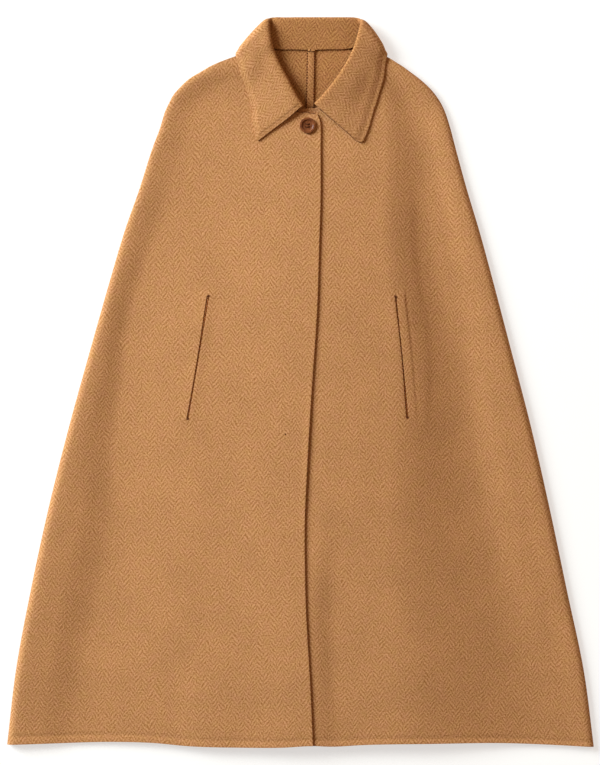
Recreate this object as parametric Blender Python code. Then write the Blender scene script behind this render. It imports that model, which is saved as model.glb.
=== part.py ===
"""Wool cape laid flat on its back: fronts with arm slits, backs, turned-down collar, welts and button.

Frame: +X to the wearer's left, +Y towards the collar, +Z up, origin under the middle of the cape on
the surface it lies on.  All tables are in millimetres; the wearer's right is -X.
"""

import math
from collections import namedtuple

import bmesh
import bpy
import numpy as np

MM = 0.001
UPWARD = np.array([0.0, 0.0, 1.0])

# ---------------------------------------------------------------- driving dimensions (millimetres)
CLOTH = 2.6              # thickness of the double-faced wool
COLLAR_CLOTH = 3.6       # thickness of the collar, two pressed layers
SEAM_GAP = 0.3           # between pieces that are sewn together
BACK_HEM_INSET = 1.5     # the back hem is this much shorter than the front hem

REST_LEVEL = 6.0         # top of a front where it lies closest to the back
EDGE_LOFT = 3.0          # the fold along the shoulder and side seam stands this much higher
EDGE_LOFT_REACH = 42.0
EDGE_LOFT_NONE = 479.0   # pressed flat by the collar from here up
EDGE_LOFT_FULL = 450.0
SEAM_LEVEL = 4.2         # height of the shoulder and side seam above the floor
FRONT_ROUND = 9.0        # the front turns down to the seam over this width
BACK_ROUND = 5.0         # the back turns up to the seam over this width
NECK_LIFT = 4.1          # the collar's fall lies under the back neck and lifts it
NECK_LIFT_FROM = 395.0
NECK_LIFT_FULL = 455.0
LAP_LIFT = 3.1           # the right front lies this much higher where it laps over the left
LAP_RAMP_FROM = -85.0
LAP_RAMP_FULL = -18.0
LAP_LIFT_NONE = 445.0    # under the collar's wing there is no lap
LAP_LIFT_FULL = 400.0
NECK_TUCK = 3.0          # the backs run on under the collar's seam edge by this much

WELT_WIDTH = 14.0
WELT_GAP = 0.6           # between a welt and the cut edges round it
WELT_FOOT = 0.5          # of its rise, how far a welt's underside lies below the cloth's
SLIT_WIDTH = 2.4
SLIT_LINE_ABOVE = 60.0   # the slit's line runs straight on by this much above its top
SLIT_LINE_BELOW = 12.0   # and by this much past the hem
STRAP_WIDTH = 11.0
STRAP_CLOTH = 1.2
STRAP_GAP = 0.4          # between the strap and the back it is sewn to
STRAP_SHORT_AT_NECK = 1.5
STRAP_SHORT_AT_HEM = 14.0

ROLL_RADIUS = 2.4        # of the turn at the collar's roll line, at the middle of the cloth
BUTTON_DIAMETER = 23.0
BUTTON_THICKNESS = 4.6
BUTTON_PLACE = (10.3, 371.2)
BUTTON_SHANK = 0.6       # the thread holds the button this far above the cloth

# The button from the middle of its underside, round the rim, to the middle of its top, as parts of
# its radius and of its thickness.
ButtonStation = namedtuple("ButtonStation", "out up")
BUTTON_PROFILE = (
    ButtonStation(0.0, 0.0),
    ButtonStation(0.62, 0.0),
    ButtonStation(0.9, 0.16),
    ButtonStation(1.0, 0.45),
    ButtonStation(0.99, 0.72),
    ButtonStation(0.92, 0.95),
    ButtonStation(0.82, 1.0),
    ButtonStation(0.72, 0.92),
    ButtonStation(0.62, 0.74),
    ButtonStation(0.5, 0.68),
    ButtonStation(0.0, 0.68),
)

# ---------------------------------------------------------------- outline
Level = namedtuple("Level", "along right left")
OUTLINE = (
    Level(481.0, -65.0, 98.0),       # neck ends of the shoulder seams, under the collar
    Level(470.5, -98.5, 126.5),
    Level(461.0, -122.5, 141.5),
    Level(449.5, -143.0, 157.5),
    Level(438.0, -162.0, 173.0),
    Level(426.0, -175.0, 186.5),
    Level(414.5, -185.0, 196.5),
    Level(403.0, -191.0, 204.0),
    Level(391.5, -196.5, 209.5),
    Level(368.5, -203.5, 217.0),
    Level(336.5, -215.5, 225.5),
    Level(278.5, -234.0, 241.5),
    Level(220.5, -254.5, 259.0),
    Level(162.5, -272.0, 275.0),
    Level(46.5, -305.0, 305.5),
    Level(-69.5, -337.0, 335.5),
    Level(-185.5, -366.0, 362.0),
    Level(-301.5, -391.0, 386.5),
    Level(-417.5, -412.5, 411.0),
    Level(-528.0, -425.6, 425.6),
)

# The hem waves by a few millimetres between the two lower corners.
HemPoint = namedtuple("HemPoint", "across along")
HEM = (
    HemPoint(-425.6, -525.6),
    HemPoint(-350.0, -523.5),
    HemPoint(-270.0, -521.6),
    HemPoint(-215.0, -522.8),
    HemPoint(-165.0, -527.0),
    HemPoint(-90.0, -528.8),
    HemPoint(-25.0, -528.4),
    HemPoint(15.0, -526.0),
    HemPoint(45.0, -527.2),
    HemPoint(90.0, -524.8),
    HemPoint(200.0, -523.0),
    HemPoint(290.0, -523.0),
    HemPoint(350.0, -525.2),
    HemPoint(425.6, -529.0),
)

# Free edge of the right front, and how far the left front runs on under it.
LapPoint = namedtuple("LapPoint", "along edge overlap")
LAP = (
    LapPoint(387.0, 24.0, 32.0),
    LapPoint(377.0, 28.3, 36.0),
    LapPoint(336.0, 29.0, 37.0),
    LapPoint(264.0, 29.0, 37.0),
    LapPoint(191.0, 26.8, 35.0),
    LapPoint(104.0, 24.0, 33.0),
    LapPoint(-26.0, 15.2, 30.0),
    LapPoint(-128.0, 9.4, 28.0),
    LapPoint(-206.0, 6.1, 27.0),
    LapPoint(-273.0, 6.5, 27.0),
    LapPoint(-331.0, 8.0, 27.0),
    LapPoint(-447.0, 14.5, 28.0),
    LapPoint(-529.0, 18.1, 30.0),
)

# Necklines, from the shoulder seam to the front edge.
NECKLINE_RIGHT = ((-65.0, 481.0), (-62.0, 468.0), (-53.0, 450.0), (-42.0, 433.0), (-25.0, 413.0),
                  (-7.0, 399.0), (6.0, 391.0), (15.0, 389.0), (24.0, 387.0))
NECKLINE_LEFT = ((98.0, 481.0), (92.0, 468.0), (83.0, 451.0), (71.0, 432.0), (56.0, 414.0),
                 (38.0, 401.0), (22.0, 397.0), (6.0, 396.0), (-8.0, 395.0))
NECKLINE_BACK_ALONG = 482.0
CENTRE_BACK_TOP = 15.0       # across, at the neck
CENTRE_BACK_HEM = 0.0        # across, at the hem

# Arm slits: the inner lip runs straight from top to bottom, bowed out by a little.
Slit = namedtuple("Slit", "top bottom bow")
SLITS = {
    "right": Slit((-133.0, 125.0), (-163.3, -54.0), 0.0),
    "left": Slit((137.8, 124.0), (154.9, -51.5), 1.4),
}

# A folded welt across its width, from the slit to its seam: how far it stands above the cloth.
WeltStation = namedtuple("WeltStation", "part rise")
WELT_PROFILE = (
    WeltStation(0.0, -0.5),
    WeltStation(0.1, 0.6),
    WeltStation(0.35, 1.0),
    WeltStation(0.65, 0.8),
    WeltStation(0.9, 0.3),
    WeltStation(1.0, -0.5),
)

# ---------------------------------------------------------------- folds
# The middle of the fronts stands higher than the sides: it rises from one line to the next, swells
# on towards the lap, and drops in one long fold on the wearer's left.
Loft = namedtuple("Loft", "along rise_from rise_to fall_from fall_to rise swell")
CENTRE_LOFT = (
    Loft(481.0, -100.0, -50.0, 104.0, 133.0, 0.5, 0.0),
    Loft(467.0, -109.0, -56.0, 104.0, 133.0, 0.8, 0.0),
    Loft(423.0, -153.0, -80.0, 118.0, 144.0, 2.5, 0.5),
    Loft(336.0, -172.0, -95.0, 136.0, 176.0, 3.5, 2.0),
    Loft(220.0, -215.0, -124.0, 140.0, 182.0, 4.0, 3.5),
    Loft(112.0, -250.0, -160.0, 150.0, 211.0, 4.5, 5.0),
    Loft(3.0, -265.0, -167.0, 156.0, 217.0, 4.5, 6.0),
    Loft(-106.0, -272.0, -175.0, 156.0, 225.0, 4.5, 6.0),
    Loft(-215.0, -272.0, -182.0, 159.0, 260.0, 4.5, 6.0),
    Loft(-323.0, -291.0, -196.0, 170.0, 297.0, 4.5, 5.5),
    Loft(-432.0, -305.0, -211.0, 188.0, 326.0, 4.0, 5.0),
    Loft(-529.0, -312.0, -218.0, 202.0, 340.0, 3.0, 4.0),
)

# Soft ridges and troughs that run down the fronts, each starting softly below its first row.
RIDGE_START = 40.0
Ridge = namedtuple("Ridge", "along crest right_reach left_reach height")
RIDGES = {
    "right side roll": (
        Ridge(410.0, -180.0, 50.0, 30.0, 0.0),
        Ridge(336.0, -192.0, 60.0, 38.0, 2.0),
        Ridge(220.0, -239.0, 60.0, 32.0, 3.5),
        Ridge(112.0, -275.0, 60.0, 32.0, 5.0),
        Ridge(3.0, -295.0, 65.0, 38.0, 6.0),
        Ridge(-106.0, -320.0, 70.0, 52.0, 6.0),
        Ridge(-215.0, -340.0, 80.0, 70.0, 6.5),
        Ridge(-323.0, -360.0, 85.0, 67.0, 6.0),
        Ridge(-432.0, -381.0, 85.0, 67.0, 5.0),
        Ridge(-529.0, -389.0, 85.0, 64.0, 4.0),
    ),
    "left side roll": (
        Ridge(410.0, 196.0, 30.0, 50.0, 0.0),
        Ridge(336.0, 211.0, 29.0, 55.0, 2.0),
        Ridge(220.0, 241.0, 36.0, 60.0, 3.0),
        Ridge(112.0, 266.0, 44.0, 60.0, 4.0),
        Ridge(3.0, 288.0, 46.0, 65.0, 5.0),
        Ridge(-106.0, 310.0, 58.0, 70.0, 5.5),
        Ridge(-215.0, 327.0, 65.0, 80.0, 5.5),
        Ridge(-323.0, 347.0, 73.0, 85.0, 5.0),
        Ridge(-432.0, 370.0, 73.0, 85.0, 4.5),
        Ridge(-529.0, 381.0, 73.0, 85.0, 4.0),
    ),
    "trough beside the lap": (
        Ridge(-171.0, 57.0, 32.0, 34.0, 0.0),
        Ridge(-258.0, 57.0, 34.0, 36.0, -2.0),
        Ridge(-345.0, 50.0, 36.0, 38.0, -3.5),
        Ridge(-432.0, 54.0, 36.0, 38.0, -3.0),
        Ridge(-529.0, 56.0, 36.0, 38.0, -1.5),
    ),
    "swell at the right hem": (
        Ridge(-330.0, -146.0, 65.0, 65.0, 0.0),
        Ridge(-432.0, -146.0, 65.0, 65.0, 1.4),
        Ridge(-529.0, -142.0, 65.0, 65.0, 2.0),
    ),
}

# ---------------------------------------------------------------- collar
# Sections from the right front end, round the back, to the left front end.  Each gives where the
# collar is sewn on, its roll line, and three stations of the fall.  On the wings heights are above
# the front panel; round the back, where the fall is folded under, they are above the floor.
Section = namedtuple("Section", "on seam roll crown turn edge")
COLLAR = (
    Section("front", (-2.5, 393.0, 0.0), (4.4, 400.0, 2.9), (-18.0, 382.0, 3.0),
            (-40.0, 365.5, 0.8), (-61.5, 349.0, 0.2)),
    Section("front", (-10.0, 400.0, 0.0), (-6.5, 417.5, 4.6), (-27.0, 402.0, 4.2),
            (-48.0, 387.0, 1.6), (-68.8, 372.5, 0.2)),
    Section("front", (-27.0, 414.0, 0.0), (-16.5, 437.0, 5.4), (-34.0, 423.5, 5.2),
            (-52.0, 409.5, 2.0), (-70.3, 396.0, 0.2)),
    Section("front", (-44.0, 434.5, 0.0), (-29.5, 461.0, 5.2), (-45.0, 447.5, 5.6),
            (-61.0, 434.0, 2.2), (-77.5, 420.5, 0.2)),
    Section("front", (-54.5, 452.0, 0.0), (-37.0, 478.5, 4.8), (-53.5, 468.5, 5.6),
            (-70.5, 458.0, 4.4), (-87.5, 448.0, 0.5)),
    Section("front", (-62.0, 468.0, 0.2), (-41.5, 494.5, 6.4), (-58.5, 486.0, 7.2),
            (-76.0, 478.0, 5.6), (-93.5, 470.0, 1.4)),
    Section("back", (-38.0, 484.6, 8.0), (-30.0, 528.8, 4.7), (-32.0, 508.0, 1.8),
            (-35.0, 486.0, 1.8), (-38.0, 464.5, 1.8)),
    Section("back", (-9.5, 483.2, 9.0), (-6.0, 528.8, 4.7), (-7.5, 508.0, 1.8),
            (-9.0, 486.0, 1.8), (-10.5, 464.0, 1.8)),
    Section("back", (15.0, 482.6, 9.0), (19.5, 528.8, 4.7), (19.0, 508.0, 1.8),
            (18.5, 486.0, 1.8), (18.0, 464.0, 1.8)),
    Section("back", (41.5, 483.4, 9.0), (45.0, 528.8, 4.7), (46.0, 508.0, 1.8),
            (47.0, 486.0, 1.8), (48.0, 464.0, 1.8)),
    Section("back", (71.0, 484.8, 7.6), (71.0, 528.8, 4.7), (73.0, 508.0, 1.8),
            (75.5, 486.0, 1.8), (78.0, 464.5, 1.8)),
    Section("front", (93.0, 468.0, 0.2), (79.5, 492.0, 8.6), (96.0, 484.0, 8.2),
            (112.0, 476.5, 5.6), (125.0, 469.5, 1.4)),
    Section("front", (84.0, 451.5, 0.0), (70.5, 470.5, 9.0), (88.0, 460.0, 6.4),
            (105.0, 450.0, 3.2), (123.5, 441.0, 0.5)),
    Section("front", (72.0, 433.0, 0.0), (58.5, 450.0, 9.2), (77.5, 437.5, 5.6),
            (96.5, 425.5, 1.6), (115.5, 413.5, 0.2)),
    Section("front", (57.0, 415.5, 0.0), (44.0, 430.0, 8.0), (65.5, 416.5, 5.0),
            (87.0, 403.0, 1.4), (108.5, 390.0, 0.2)),
    Section("front", (40.0, 402.5, 0.0), (30.0, 413.5, 6.0), (53.5, 397.5, 4.2),
            (77.0, 381.5, 1.2), (100.0, 366.0, 0.2)),
    Section("front", (26.0, 397.5, 0.0), (19.6, 403.3, 3.2), (42.5, 384.5, 3.4),
            (66.0, 365.5, 0.8), (89.0, 346.5, 0.2)),
)
CENTRE_SECTION = 8           # the one at the centre back
COLLAR_STEPS = 2             # rows to each pair of sections
WRAP_STEPS = 16              # rows between the last section of a wing and the first of the back
STRETCH_STEPS = (3, 3, 1, 1, 1, 1, 4, 4, 4)      # points to each stretch of a section
FALL_COLUMN = 10             # the first point of the fall
SETTLE_FROM = 0.3            # of the half turn, where the fall begins to sink to the floor
SETTLE_OVER = 0.6

# Past each shoulder the collar bends down through half a turn, from over the fronts to under the
# backs, about a line from the roll's end to the shoulder's.  Levels are those of the line's ends.
Wrap = namedtuple("Wrap", "roll_end shoulder_end roll_level shoulder_level")
WRAPS = {
    "right": Wrap((-44.5, 518.4), (-89.0, 472.8), 10.0, 9.2),
    "left": Wrap((84.3, 519.0), (117.6, 476.4), 10.6, 9.2),
}
WRAP_RADIUS = 5.8

# ---------------------------------------------------------------- mesh resolution
ROWS_TO_SLIT = 13
ROWS_IN_SLIT = 5
ROWS_TO_HEM = 11
ROUND_STEPS = 4
SHOULDER_SPACING = 1.15      # above 1, the rows lie closer by the neck
ROUND_SHARE = 0.3            # where a panel is narrow, most of a row that its turned edge may take
WELT_SHARE = 0.16            # and its welt
SIDE_STEPS = 8               # points to each stretch of the outline
COLUMNS_OUTSIDE_SLIT = 9
COLUMNS_INSIDE_SLIT = 9
BACK_COLUMNS = 3
WELT_ROWS = 8
BUTTON_SIDES = 28

# ---------------------------------------------------------------- materials: colour, roughness
FINISHES = {
    "camel herringbone wool": ((0.52, 0.25, 0.105, 1.0), 0.92),
    "brown horn button": ((0.165, 0.055, 0.022, 1.0), 0.35),
}


def clear_scene():
    """Remove every object, so that the file holds only the cape."""
    for item in list(bpy.data.objects):
        bpy.data.objects.remove(item, do_unlink=True)


def finish(name):
    """The material of this name, made on first use."""
    material = bpy.data.materials.get(name)
    if material is None:
        colour, roughness = FINISHES[name]
        material = bpy.data.materials.new(name)
        material.use_nodes = True
        shader = material.node_tree.nodes["Principled BSDF"]
        shader.inputs["Base Color"].default_value = colour
        shader.inputs["Roughness"].default_value = roughness
        shader.inputs["Metallic"].default_value = 0.0
    return material


# ---------------------------------------------------------------- curves and tables
def smooth_step(value):
    """0 below 0, 1 above 1, with level ends."""
    clipped = np.clip(value, 0.0, 1.0)
    return clipped * clipped * (3.0 - 2.0 * clipped)


def soft_bump(value):
    """1 at 0, falling to 0 at -1 and 1, with level ends."""
    return 0.5 + 0.5 * np.cos(math.pi * np.clip(value, -1.0, 1.0))


def read_table(rows, column, key, where):
    """A column of the table, read smoothly between the rows at the places where."""
    keys = np.array([getattr(row, key) for row in rows], float)
    values = np.array([getattr(row, column) for row in rows], float)
    if keys[0] > keys[-1]:
        keys = keys[::-1]
        values = values[::-1]
    slopes = np.gradient(values, keys)
    place = np.clip(where, keys[0], keys[-1])
    index = np.clip(np.searchsorted(keys, place) - 1, 0, len(keys) - 2)
    span = keys[index + 1] - keys[index]
    part = (place - keys[index]) / span
    squared = part * part
    cubed = squared * part
    return ((2 * cubed - 3 * squared + 1) * values[index]
            + (cubed - 2 * squared + part) * span * slopes[index]
            + (3 * squared - 2 * cubed) * values[index + 1]
            + (cubed - squared) * span * slopes[index + 1])


def curve_through(points, steps):
    """Points on a smooth curve through the given ones; steps is one number, or one to a stretch."""
    given = np.array(points, float)
    padded = np.vstack([2 * given[0] - given[1], given, 2 * given[-1] - given[-2]])
    counts = np.broadcast_to(steps, len(given) - 1)
    made = []
    for index, count in enumerate(counts):
        parts = np.linspace(0.0, 1.0, count, endpoint=False)[:, None]
        before, start, end, after = padded[index:index + 4]
        lengths = [max(np.linalg.norm(b - a), 1e-6) ** 0.5
                   for a, b in ((before, start), (start, end), (end, after))]
        leave = ((start - before) / lengths[0] - (end - before) / (lengths[0] + lengths[1])
                 + (end - start) / lengths[1]) * lengths[1]
        arrive = ((end - start) / lengths[1] - (after - start) / (lengths[1] + lengths[2])
                  + (after - end) / lengths[2]) * lengths[1]
        made.append((2 * parts**3 - 3 * parts**2 + 1) * start + (parts**3 - 2 * parts**2 + parts) * leave
                    + (3 * parts**2 - 2 * parts**3) * end + (parts**3 - parts**2) * arrive)
    made.append(given[-1:])
    return np.vstack(made)


def points_along(line, fractions):
    """Points of a polyline at these fractions of its length."""
    lengths = np.concatenate([[0.0], np.cumsum(np.linalg.norm(np.diff(line, axis=0), axis=1))])
    wanted = np.asarray(fractions) * lengths[-1]
    return np.stack([np.interp(wanted, lengths, line[:, axis]) for axis in range(line.shape[1])], axis=-1)


# ---------------------------------------------------------------- heights of the laid cloth
def neck_lift(along):
    """How far the collar's folded fall lifts the cloth that lies on it."""
    return NECK_LIFT * smooth_step((along - NECK_LIFT_FROM) / (NECK_LIFT_FULL - NECK_LIFT_FROM))


def clear_of_collar(along):
    """0 at the neck ends of the shoulder seams, which the collar presses flat, 1 further down."""
    return smooth_step((EDGE_LOFT_NONE - along) / (EDGE_LOFT_NONE - EDGE_LOFT_FULL))


def side_distance(across, along):
    """Rough distance from the nearer shoulder or side seam, square to it."""
    nearest = None
    for side, sign in (("right", 1.0), ("left", -1.0)):
        above, edge, below = (read_table(OUTLINE, side, "along", along + step) for step in (1.0, 0.0, -1.0))
        distance = sign * (across - edge) / np.sqrt(1.0 + ((above - below) / 2.0) ** 2)
        nearest = distance if nearest is None else np.minimum(nearest, distance)
    return nearest


def centre_loft(across, along):
    """Height of the raised middle of the fronts."""
    row = {name: read_table(CENTRE_LOFT, name, "along", along) for name in Loft._fields[1:]}
    rising = smooth_step((across - row["rise_from"]) / (row["rise_to"] - row["rise_from"]))
    swelling = smooth_step((across - row["rise_to"]) / (0.0 - row["rise_to"]))
    falling = smooth_step((across - row["fall_from"]) / (row["fall_to"] - row["fall_from"]))
    return (row["rise"] * rising + row["swell"] * swelling) * (1.0 - falling)


def ridge_height(rows, across, along):
    """Height of one soft ridge, or depth of one trough."""
    row = {name: read_table(rows, name, "along", along) for name in Ridge._fields[1:]}
    offset = across - row["crest"]
    reach = np.where(offset < 0.0, row["right_reach"], row["left_reach"])
    started = smooth_step((rows[0].along - along) / RIDGE_START)
    return row["height"] * soft_bump(offset / reach) * started


def under_layer(across, along):
    """Top of a single layer of front cloth laid over the back."""
    across = np.asarray(across, float)
    along = np.asarray(along, float)
    level = REST_LEVEL + neck_lift(along) + centre_loft(across, along)
    loft = EDGE_LOFT * clear_of_collar(along)
    level = level + loft * soft_bump(side_distance(across, along) / EDGE_LOFT_REACH)
    for rows in RIDGES.values():
        level = level + ridge_height(rows, across, along)
    return level


def front_top(side, across, along):
    """Top of the front panel on this side."""
    level = under_layer(across, along)
    if side == "right":
        lift = LAP_LIFT * smooth_step((LAP_LIFT_NONE - along) / (LAP_LIFT_NONE - LAP_LIFT_FULL))
        level = level + lift * smooth_step((across - LAP_RAMP_FROM) / (LAP_RAMP_FULL - LAP_RAMP_FROM))
    return level


# ---------------------------------------------------------------- plans of the panels
def side_line(side):
    """Shoulder and side seam in plan, from the neck to the hem, at the middle of the cloth."""
    points = [(getattr(level, side), level.along) for level in OUTLINE]
    line = curve_through(points, SIDE_STEPS)
    step = np.gradient(line, axis=0)
    outward = np.stack([step[:, 1], -step[:, 0]], axis=1)
    outward /= np.linalg.norm(outward, axis=1)[:, None]
    if side == "left":
        outward = -outward
    return line - outward * CLOTH / 2, outward


def part_above(line, along):
    """The stretch of a line that starts at its top and ends at this height."""
    crossing = int(np.argmax(line[:, 1] < along))
    start, end = line[crossing - 1], line[crossing]
    part = (start[1] - along) / (start[1] - end[1])
    return np.vstack([line[:crossing], start + part * (end - start)])


def level_points(line, alongs):
    """Points of a downward line at these heights."""
    return np.stack([np.interp(-np.asarray(alongs), -line[:, 1], line[:, 0]), alongs], axis=1)


def hem_along(across):
    """Where the front hem lies, for each place across."""
    return read_table(HEM, "along", "across", across)


def row_levels(side):
    """Heights of the level rows: through the slit, then down to the hem."""
    slit = SLITS[side]
    in_slit = np.linspace(slit.top[1], slit.bottom[1], ROWS_IN_SLIT + 1)
    to_hem = np.linspace(slit.bottom[1], HEM[0].along, ROWS_TO_HEM + 1)
    return np.concatenate([in_slit, to_hem[1:]])


def shoulder_fractions():
    """Spacing of the upper rows along the shoulder, closer where it bends."""
    return np.linspace(0.0, 1.0, ROWS_TO_SLIT + 1) ** SHOULDER_SPACING


def rows_down(side, line):
    """Row ends on a line from the neck to the hem: spaced along it, then level."""
    upper = points_along(part_above(line, SLITS[side].top[1]), shoulder_fractions())
    return np.vstack([upper[:-1], level_points(line, row_levels(side))])


def lap_line(side):
    """Front edge in plan, from the neckline to the hem."""
    overlap = np.array([point.overlap for point in LAP])
    edge = np.array([point.edge for point in LAP])
    across = edge - overlap if side == "left" else edge
    along = np.array([point.along for point in LAP])
    if side == "left":
        along[0] = NECKLINE_LEFT[-1][1]
        across[0] = NECKLINE_LEFT[-1][0]
    return curve_through(np.stack([across, along], axis=1), SIDE_STEPS)


def neckline(side):
    """Neckline of a front in plan, from the shoulder seam to the front edge."""
    return curve_through(NECKLINE_RIGHT if side == "right" else NECKLINE_LEFT, SIDE_STEPS)


def slit_line(side):
    """Inner lip of the slit, run on up to the neckline and down to the hem."""
    slit = SLITS[side]
    start = points_along(neckline(side), [0.5])[0]
    top = np.array(slit.top)
    bottom = np.array(slit.bottom)
    run = (bottom - top) / (top[1] - bottom[1])
    outward = -1.0 if side == "right" else 1.0
    middle = (top + bottom) / 2 + np.array([outward * slit.bow, 0.0])
    foot = bottom + run * (bottom[1] - HEM[0].along + SLIT_LINE_BELOW)
    above = top - run * SLIT_LINE_ABOVE
    return curve_through([start, (start + above) / 2, above, top, middle, bottom, foot], SIDE_STEPS)


def spread(start, end, parts):
    """Points between two rows of ends, at these parts of the way."""
    return start[:, None, :] + (end - start)[:, None, :] * np.asarray(parts)[None, :, None]


def round_parts():
    """Spacing of the columns over a turned edge, closer where it stands upright."""
    return 1.0 - np.cos(np.linspace(0.0, math.pi / 2, ROUND_STEPS + 1))


def front_plan(side):
    """Plan of a front panel as rows of points, and which column the slit starts at."""
    outer = side_line(side)[0]
    edge_points = rows_down(side, outer)
    lip_points = rows_down(side, slit_line(side))
    lap_points = rows_down(side, lap_line(side))
    inward = lip_points - edge_points
    room = np.linalg.norm(inward, axis=1)
    inward = inward / room[:, None]
    welt_room = WELT_WIDTH + SLIT_WIDTH + WELT_GAP
    opening = np.minimum(welt_room, room * WELT_SHARE)
    seam_points = lip_points - inward * opening[:, None]
    rounded = np.minimum(FRONT_ROUND, room * ROUND_SHARE)
    turn = spread(edge_points, edge_points + inward * rounded[:, None], round_parts())
    outside = spread(turn[:, -1], seam_points, np.linspace(0.0, 1.0, COLUMNS_OUTSIDE_SLIT + 1)[1:])
    inside = spread(lip_points, lap_points, np.linspace(0.0, 1.0, COLUMNS_INSIDE_SLIT + 1))
    plan = np.concatenate([turn, outside, inside], axis=1)
    plan = fit_to_neckline(plan, neckline(side))
    plan = fit_to_hem(plan, 0.0)
    return plan, turn.shape[1] + outside.shape[1] - 1


def fit_to_neckline(plan, curve):
    """Bend the top rows so that the first one lies on the neckline."""
    lengths = np.concatenate([[0.0], np.cumsum(np.linalg.norm(np.diff(plan[0], axis=0), axis=1))])
    shift = points_along(curve, lengths / lengths[-1]) - plan[0]
    for row in range(ROWS_TO_SLIT):
        plan[row] += shift * (1.0 - row / ROWS_TO_SLIT) ** 2
    return plan


def fit_to_hem(plan, inset):
    """Slide the lowest rows so that the last one lies on the waving hem."""
    first = ROWS_TO_SLIT + ROWS_IN_SLIT
    shift = hem_along(plan[-1, :, 0]) + inset - plan[-1, :, 1]
    for row in range(first, len(plan)):
        plan[row, :, 1] += shift * (row - first) / (len(plan) - 1 - first)
    return plan


# ---------------------------------------------------------------- walls of cloth
def grid_normals(points):
    """Unit normals of a grid of points."""
    normals = np.cross(np.gradient(points, axis=0), np.gradient(points, axis=1))
    return normals / np.linalg.norm(normals, axis=2)[:, :, None]


def level_normals(height, plan):
    """Unit normals, pointing up, of the surface that a height function gives over a plan."""
    across, along = plan[:, :, 0], plan[:, :, 1]
    rise_across = (height(across + 1.0, along) - height(across - 1.0, along)) / 2.0
    rise_along = (height(across, along + 1.0) - height(across, along - 1.0)) / 2.0
    normals = np.stack([-rise_across, -rise_along, np.ones_like(rise_across)], axis=2)
    return normals / np.linalg.norm(normals, axis=2)[:, :, None]


def both_faces(points, normals, thickness):
    """The two faces of a wall of cloth round a grid of middle points."""
    return points + normals * thickness / 2, points - normals * thickness / 2


def add_wall(name, faces, missing=()):
    """One closed wall of cloth between two grids of points; missing cells are cut through."""
    rows, columns = faces[0].shape[:2]
    mesh = bmesh.new()
    made = []
    for face in faces:
        placed = face * MM
        placed[:, :, 2] = np.maximum(placed[:, :, 2], 0.0)
        made.append([[mesh.verts.new(place) for place in line] for line in placed])
    upper, lower = made
    cells = {(row, column) for row in range(rows - 1) for column in range(columns - 1)} - set(missing)
    for row, column in sorted(cells):
        corners = ((row, column), (row, column + 1), (row + 1, column + 1), (row + 1, column))
        mesh.faces.new([upper[r][c] for r, c in corners])
        mesh.faces.new([lower[r][c] for r, c in reversed(corners)])
        neighbours = ((row - 1, column), (row, column + 1), (row + 1, column), (row, column - 1))
        for index, neighbour in enumerate(neighbours):
            if neighbour not in cells:
                start, end = corners[index], corners[(index + 1) % 4]
                mesh.faces.new((upper[end[0]][end[1]], upper[start[0]][start[1]],
                                lower[start[0]][start[1]], lower[end[0]][end[1]]))
    loose = [vertex for vertex in mesh.verts if not vertex.link_faces]
    bmesh.ops.delete(mesh, geom=loose, context="VERTS")
    return add_object(name, mesh, "camel herringbone wool")


def add_object(name, mesh, material):
    """Turn a finished bmesh into a smooth-shaded object with its material."""
    bmesh.ops.recalc_face_normals(mesh, faces=mesh.faces)
    data = bpy.data.meshes.new(name)
    mesh.to_mesh(data)
    mesh.free()
    data.materials.append(finish(material))
    data.shade_smooth()
    data.set_sharp_from_angle(angle=math.radians(50))
    thing = bpy.data.objects.new(name, data)
    bpy.context.scene.collection.objects.link(thing)
    return thing


def turn_to_seam(side, plan, level, seam, normals):
    """Round the cloth from level down, or up, to the seam, where it stands upright.

    Under the collar the turn eases off, and the two panels lie flat one on the other.
    """
    eased = clear_of_collar(plan[:, :1, 1])
    edge = level[:, :1] + (seam - level[:, :1]) * eased ** 2
    outward = seam_outward(side, plan[:, 0])
    width = np.linalg.norm(plan[:, ROUND_STEPS] - plan[:, 0], axis=1)[:, None]
    reach = np.minimum(np.linalg.norm(plan - plan[:, :1], axis=2) / width, 1.0)
    angle = np.arccos(1.0 - reach)
    height = edge + (level - edge) * np.sin(angle)
    sideways = (np.abs(level - edge) * np.cos(angle))[:, :, None] * outward[:, None, :]
    upright = (width * np.maximum(np.sin(angle), 1.0 - eased))[:, :, None] * normals
    turned = np.where(reach[:, :, None] < 1.0, sideways + upright, normals)
    turned /= np.linalg.norm(turned, axis=2)[:, :, None]
    return np.concatenate([plan, height[:, :, None]], axis=2), turned


def seam_outward(side, places):
    """Level direction away from the garment at these places on the shoulder and side seam."""
    line, outward = side_line(side)
    nearest = [np.argmin(np.linalg.norm(line - place, axis=1)) for place in places]
    return np.concatenate([outward[nearest], np.zeros((len(places), 1))], axis=1)


def add_front(side):
    """Front panel: a wall that lies over the back, turns down to the seam, and has its slit cut."""
    plan, slit_column = front_plan(side)

    def middle(across, along):
        return front_top(side, across, along) - CLOTH / 2

    seam = SEAM_LEVEL + SEAM_GAP / 2 + neck_lift(plan[:, :1, 1])
    level = middle(plan[:, :, 0], plan[:, :, 1])
    points, normals = turn_to_seam(side, plan, level, seam, level_normals(middle, plan))
    slit_rows = range(ROWS_TO_SLIT, ROWS_TO_SLIT + ROWS_IN_SLIT)
    missing = [(row, slit_column) for row in slit_rows]
    return add_wall("front_" + side, both_faces(points, normals, CLOTH), missing)


def centre_back(along):
    """Place of the centre-back seam across, for each height."""
    part = (NECKLINE_BACK_ALONG - along) / (NECKLINE_BACK_ALONG - HEM[0].along)
    return CENTRE_BACK_TOP + (CENTRE_BACK_HEM - CENTRE_BACK_TOP) * part


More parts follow.
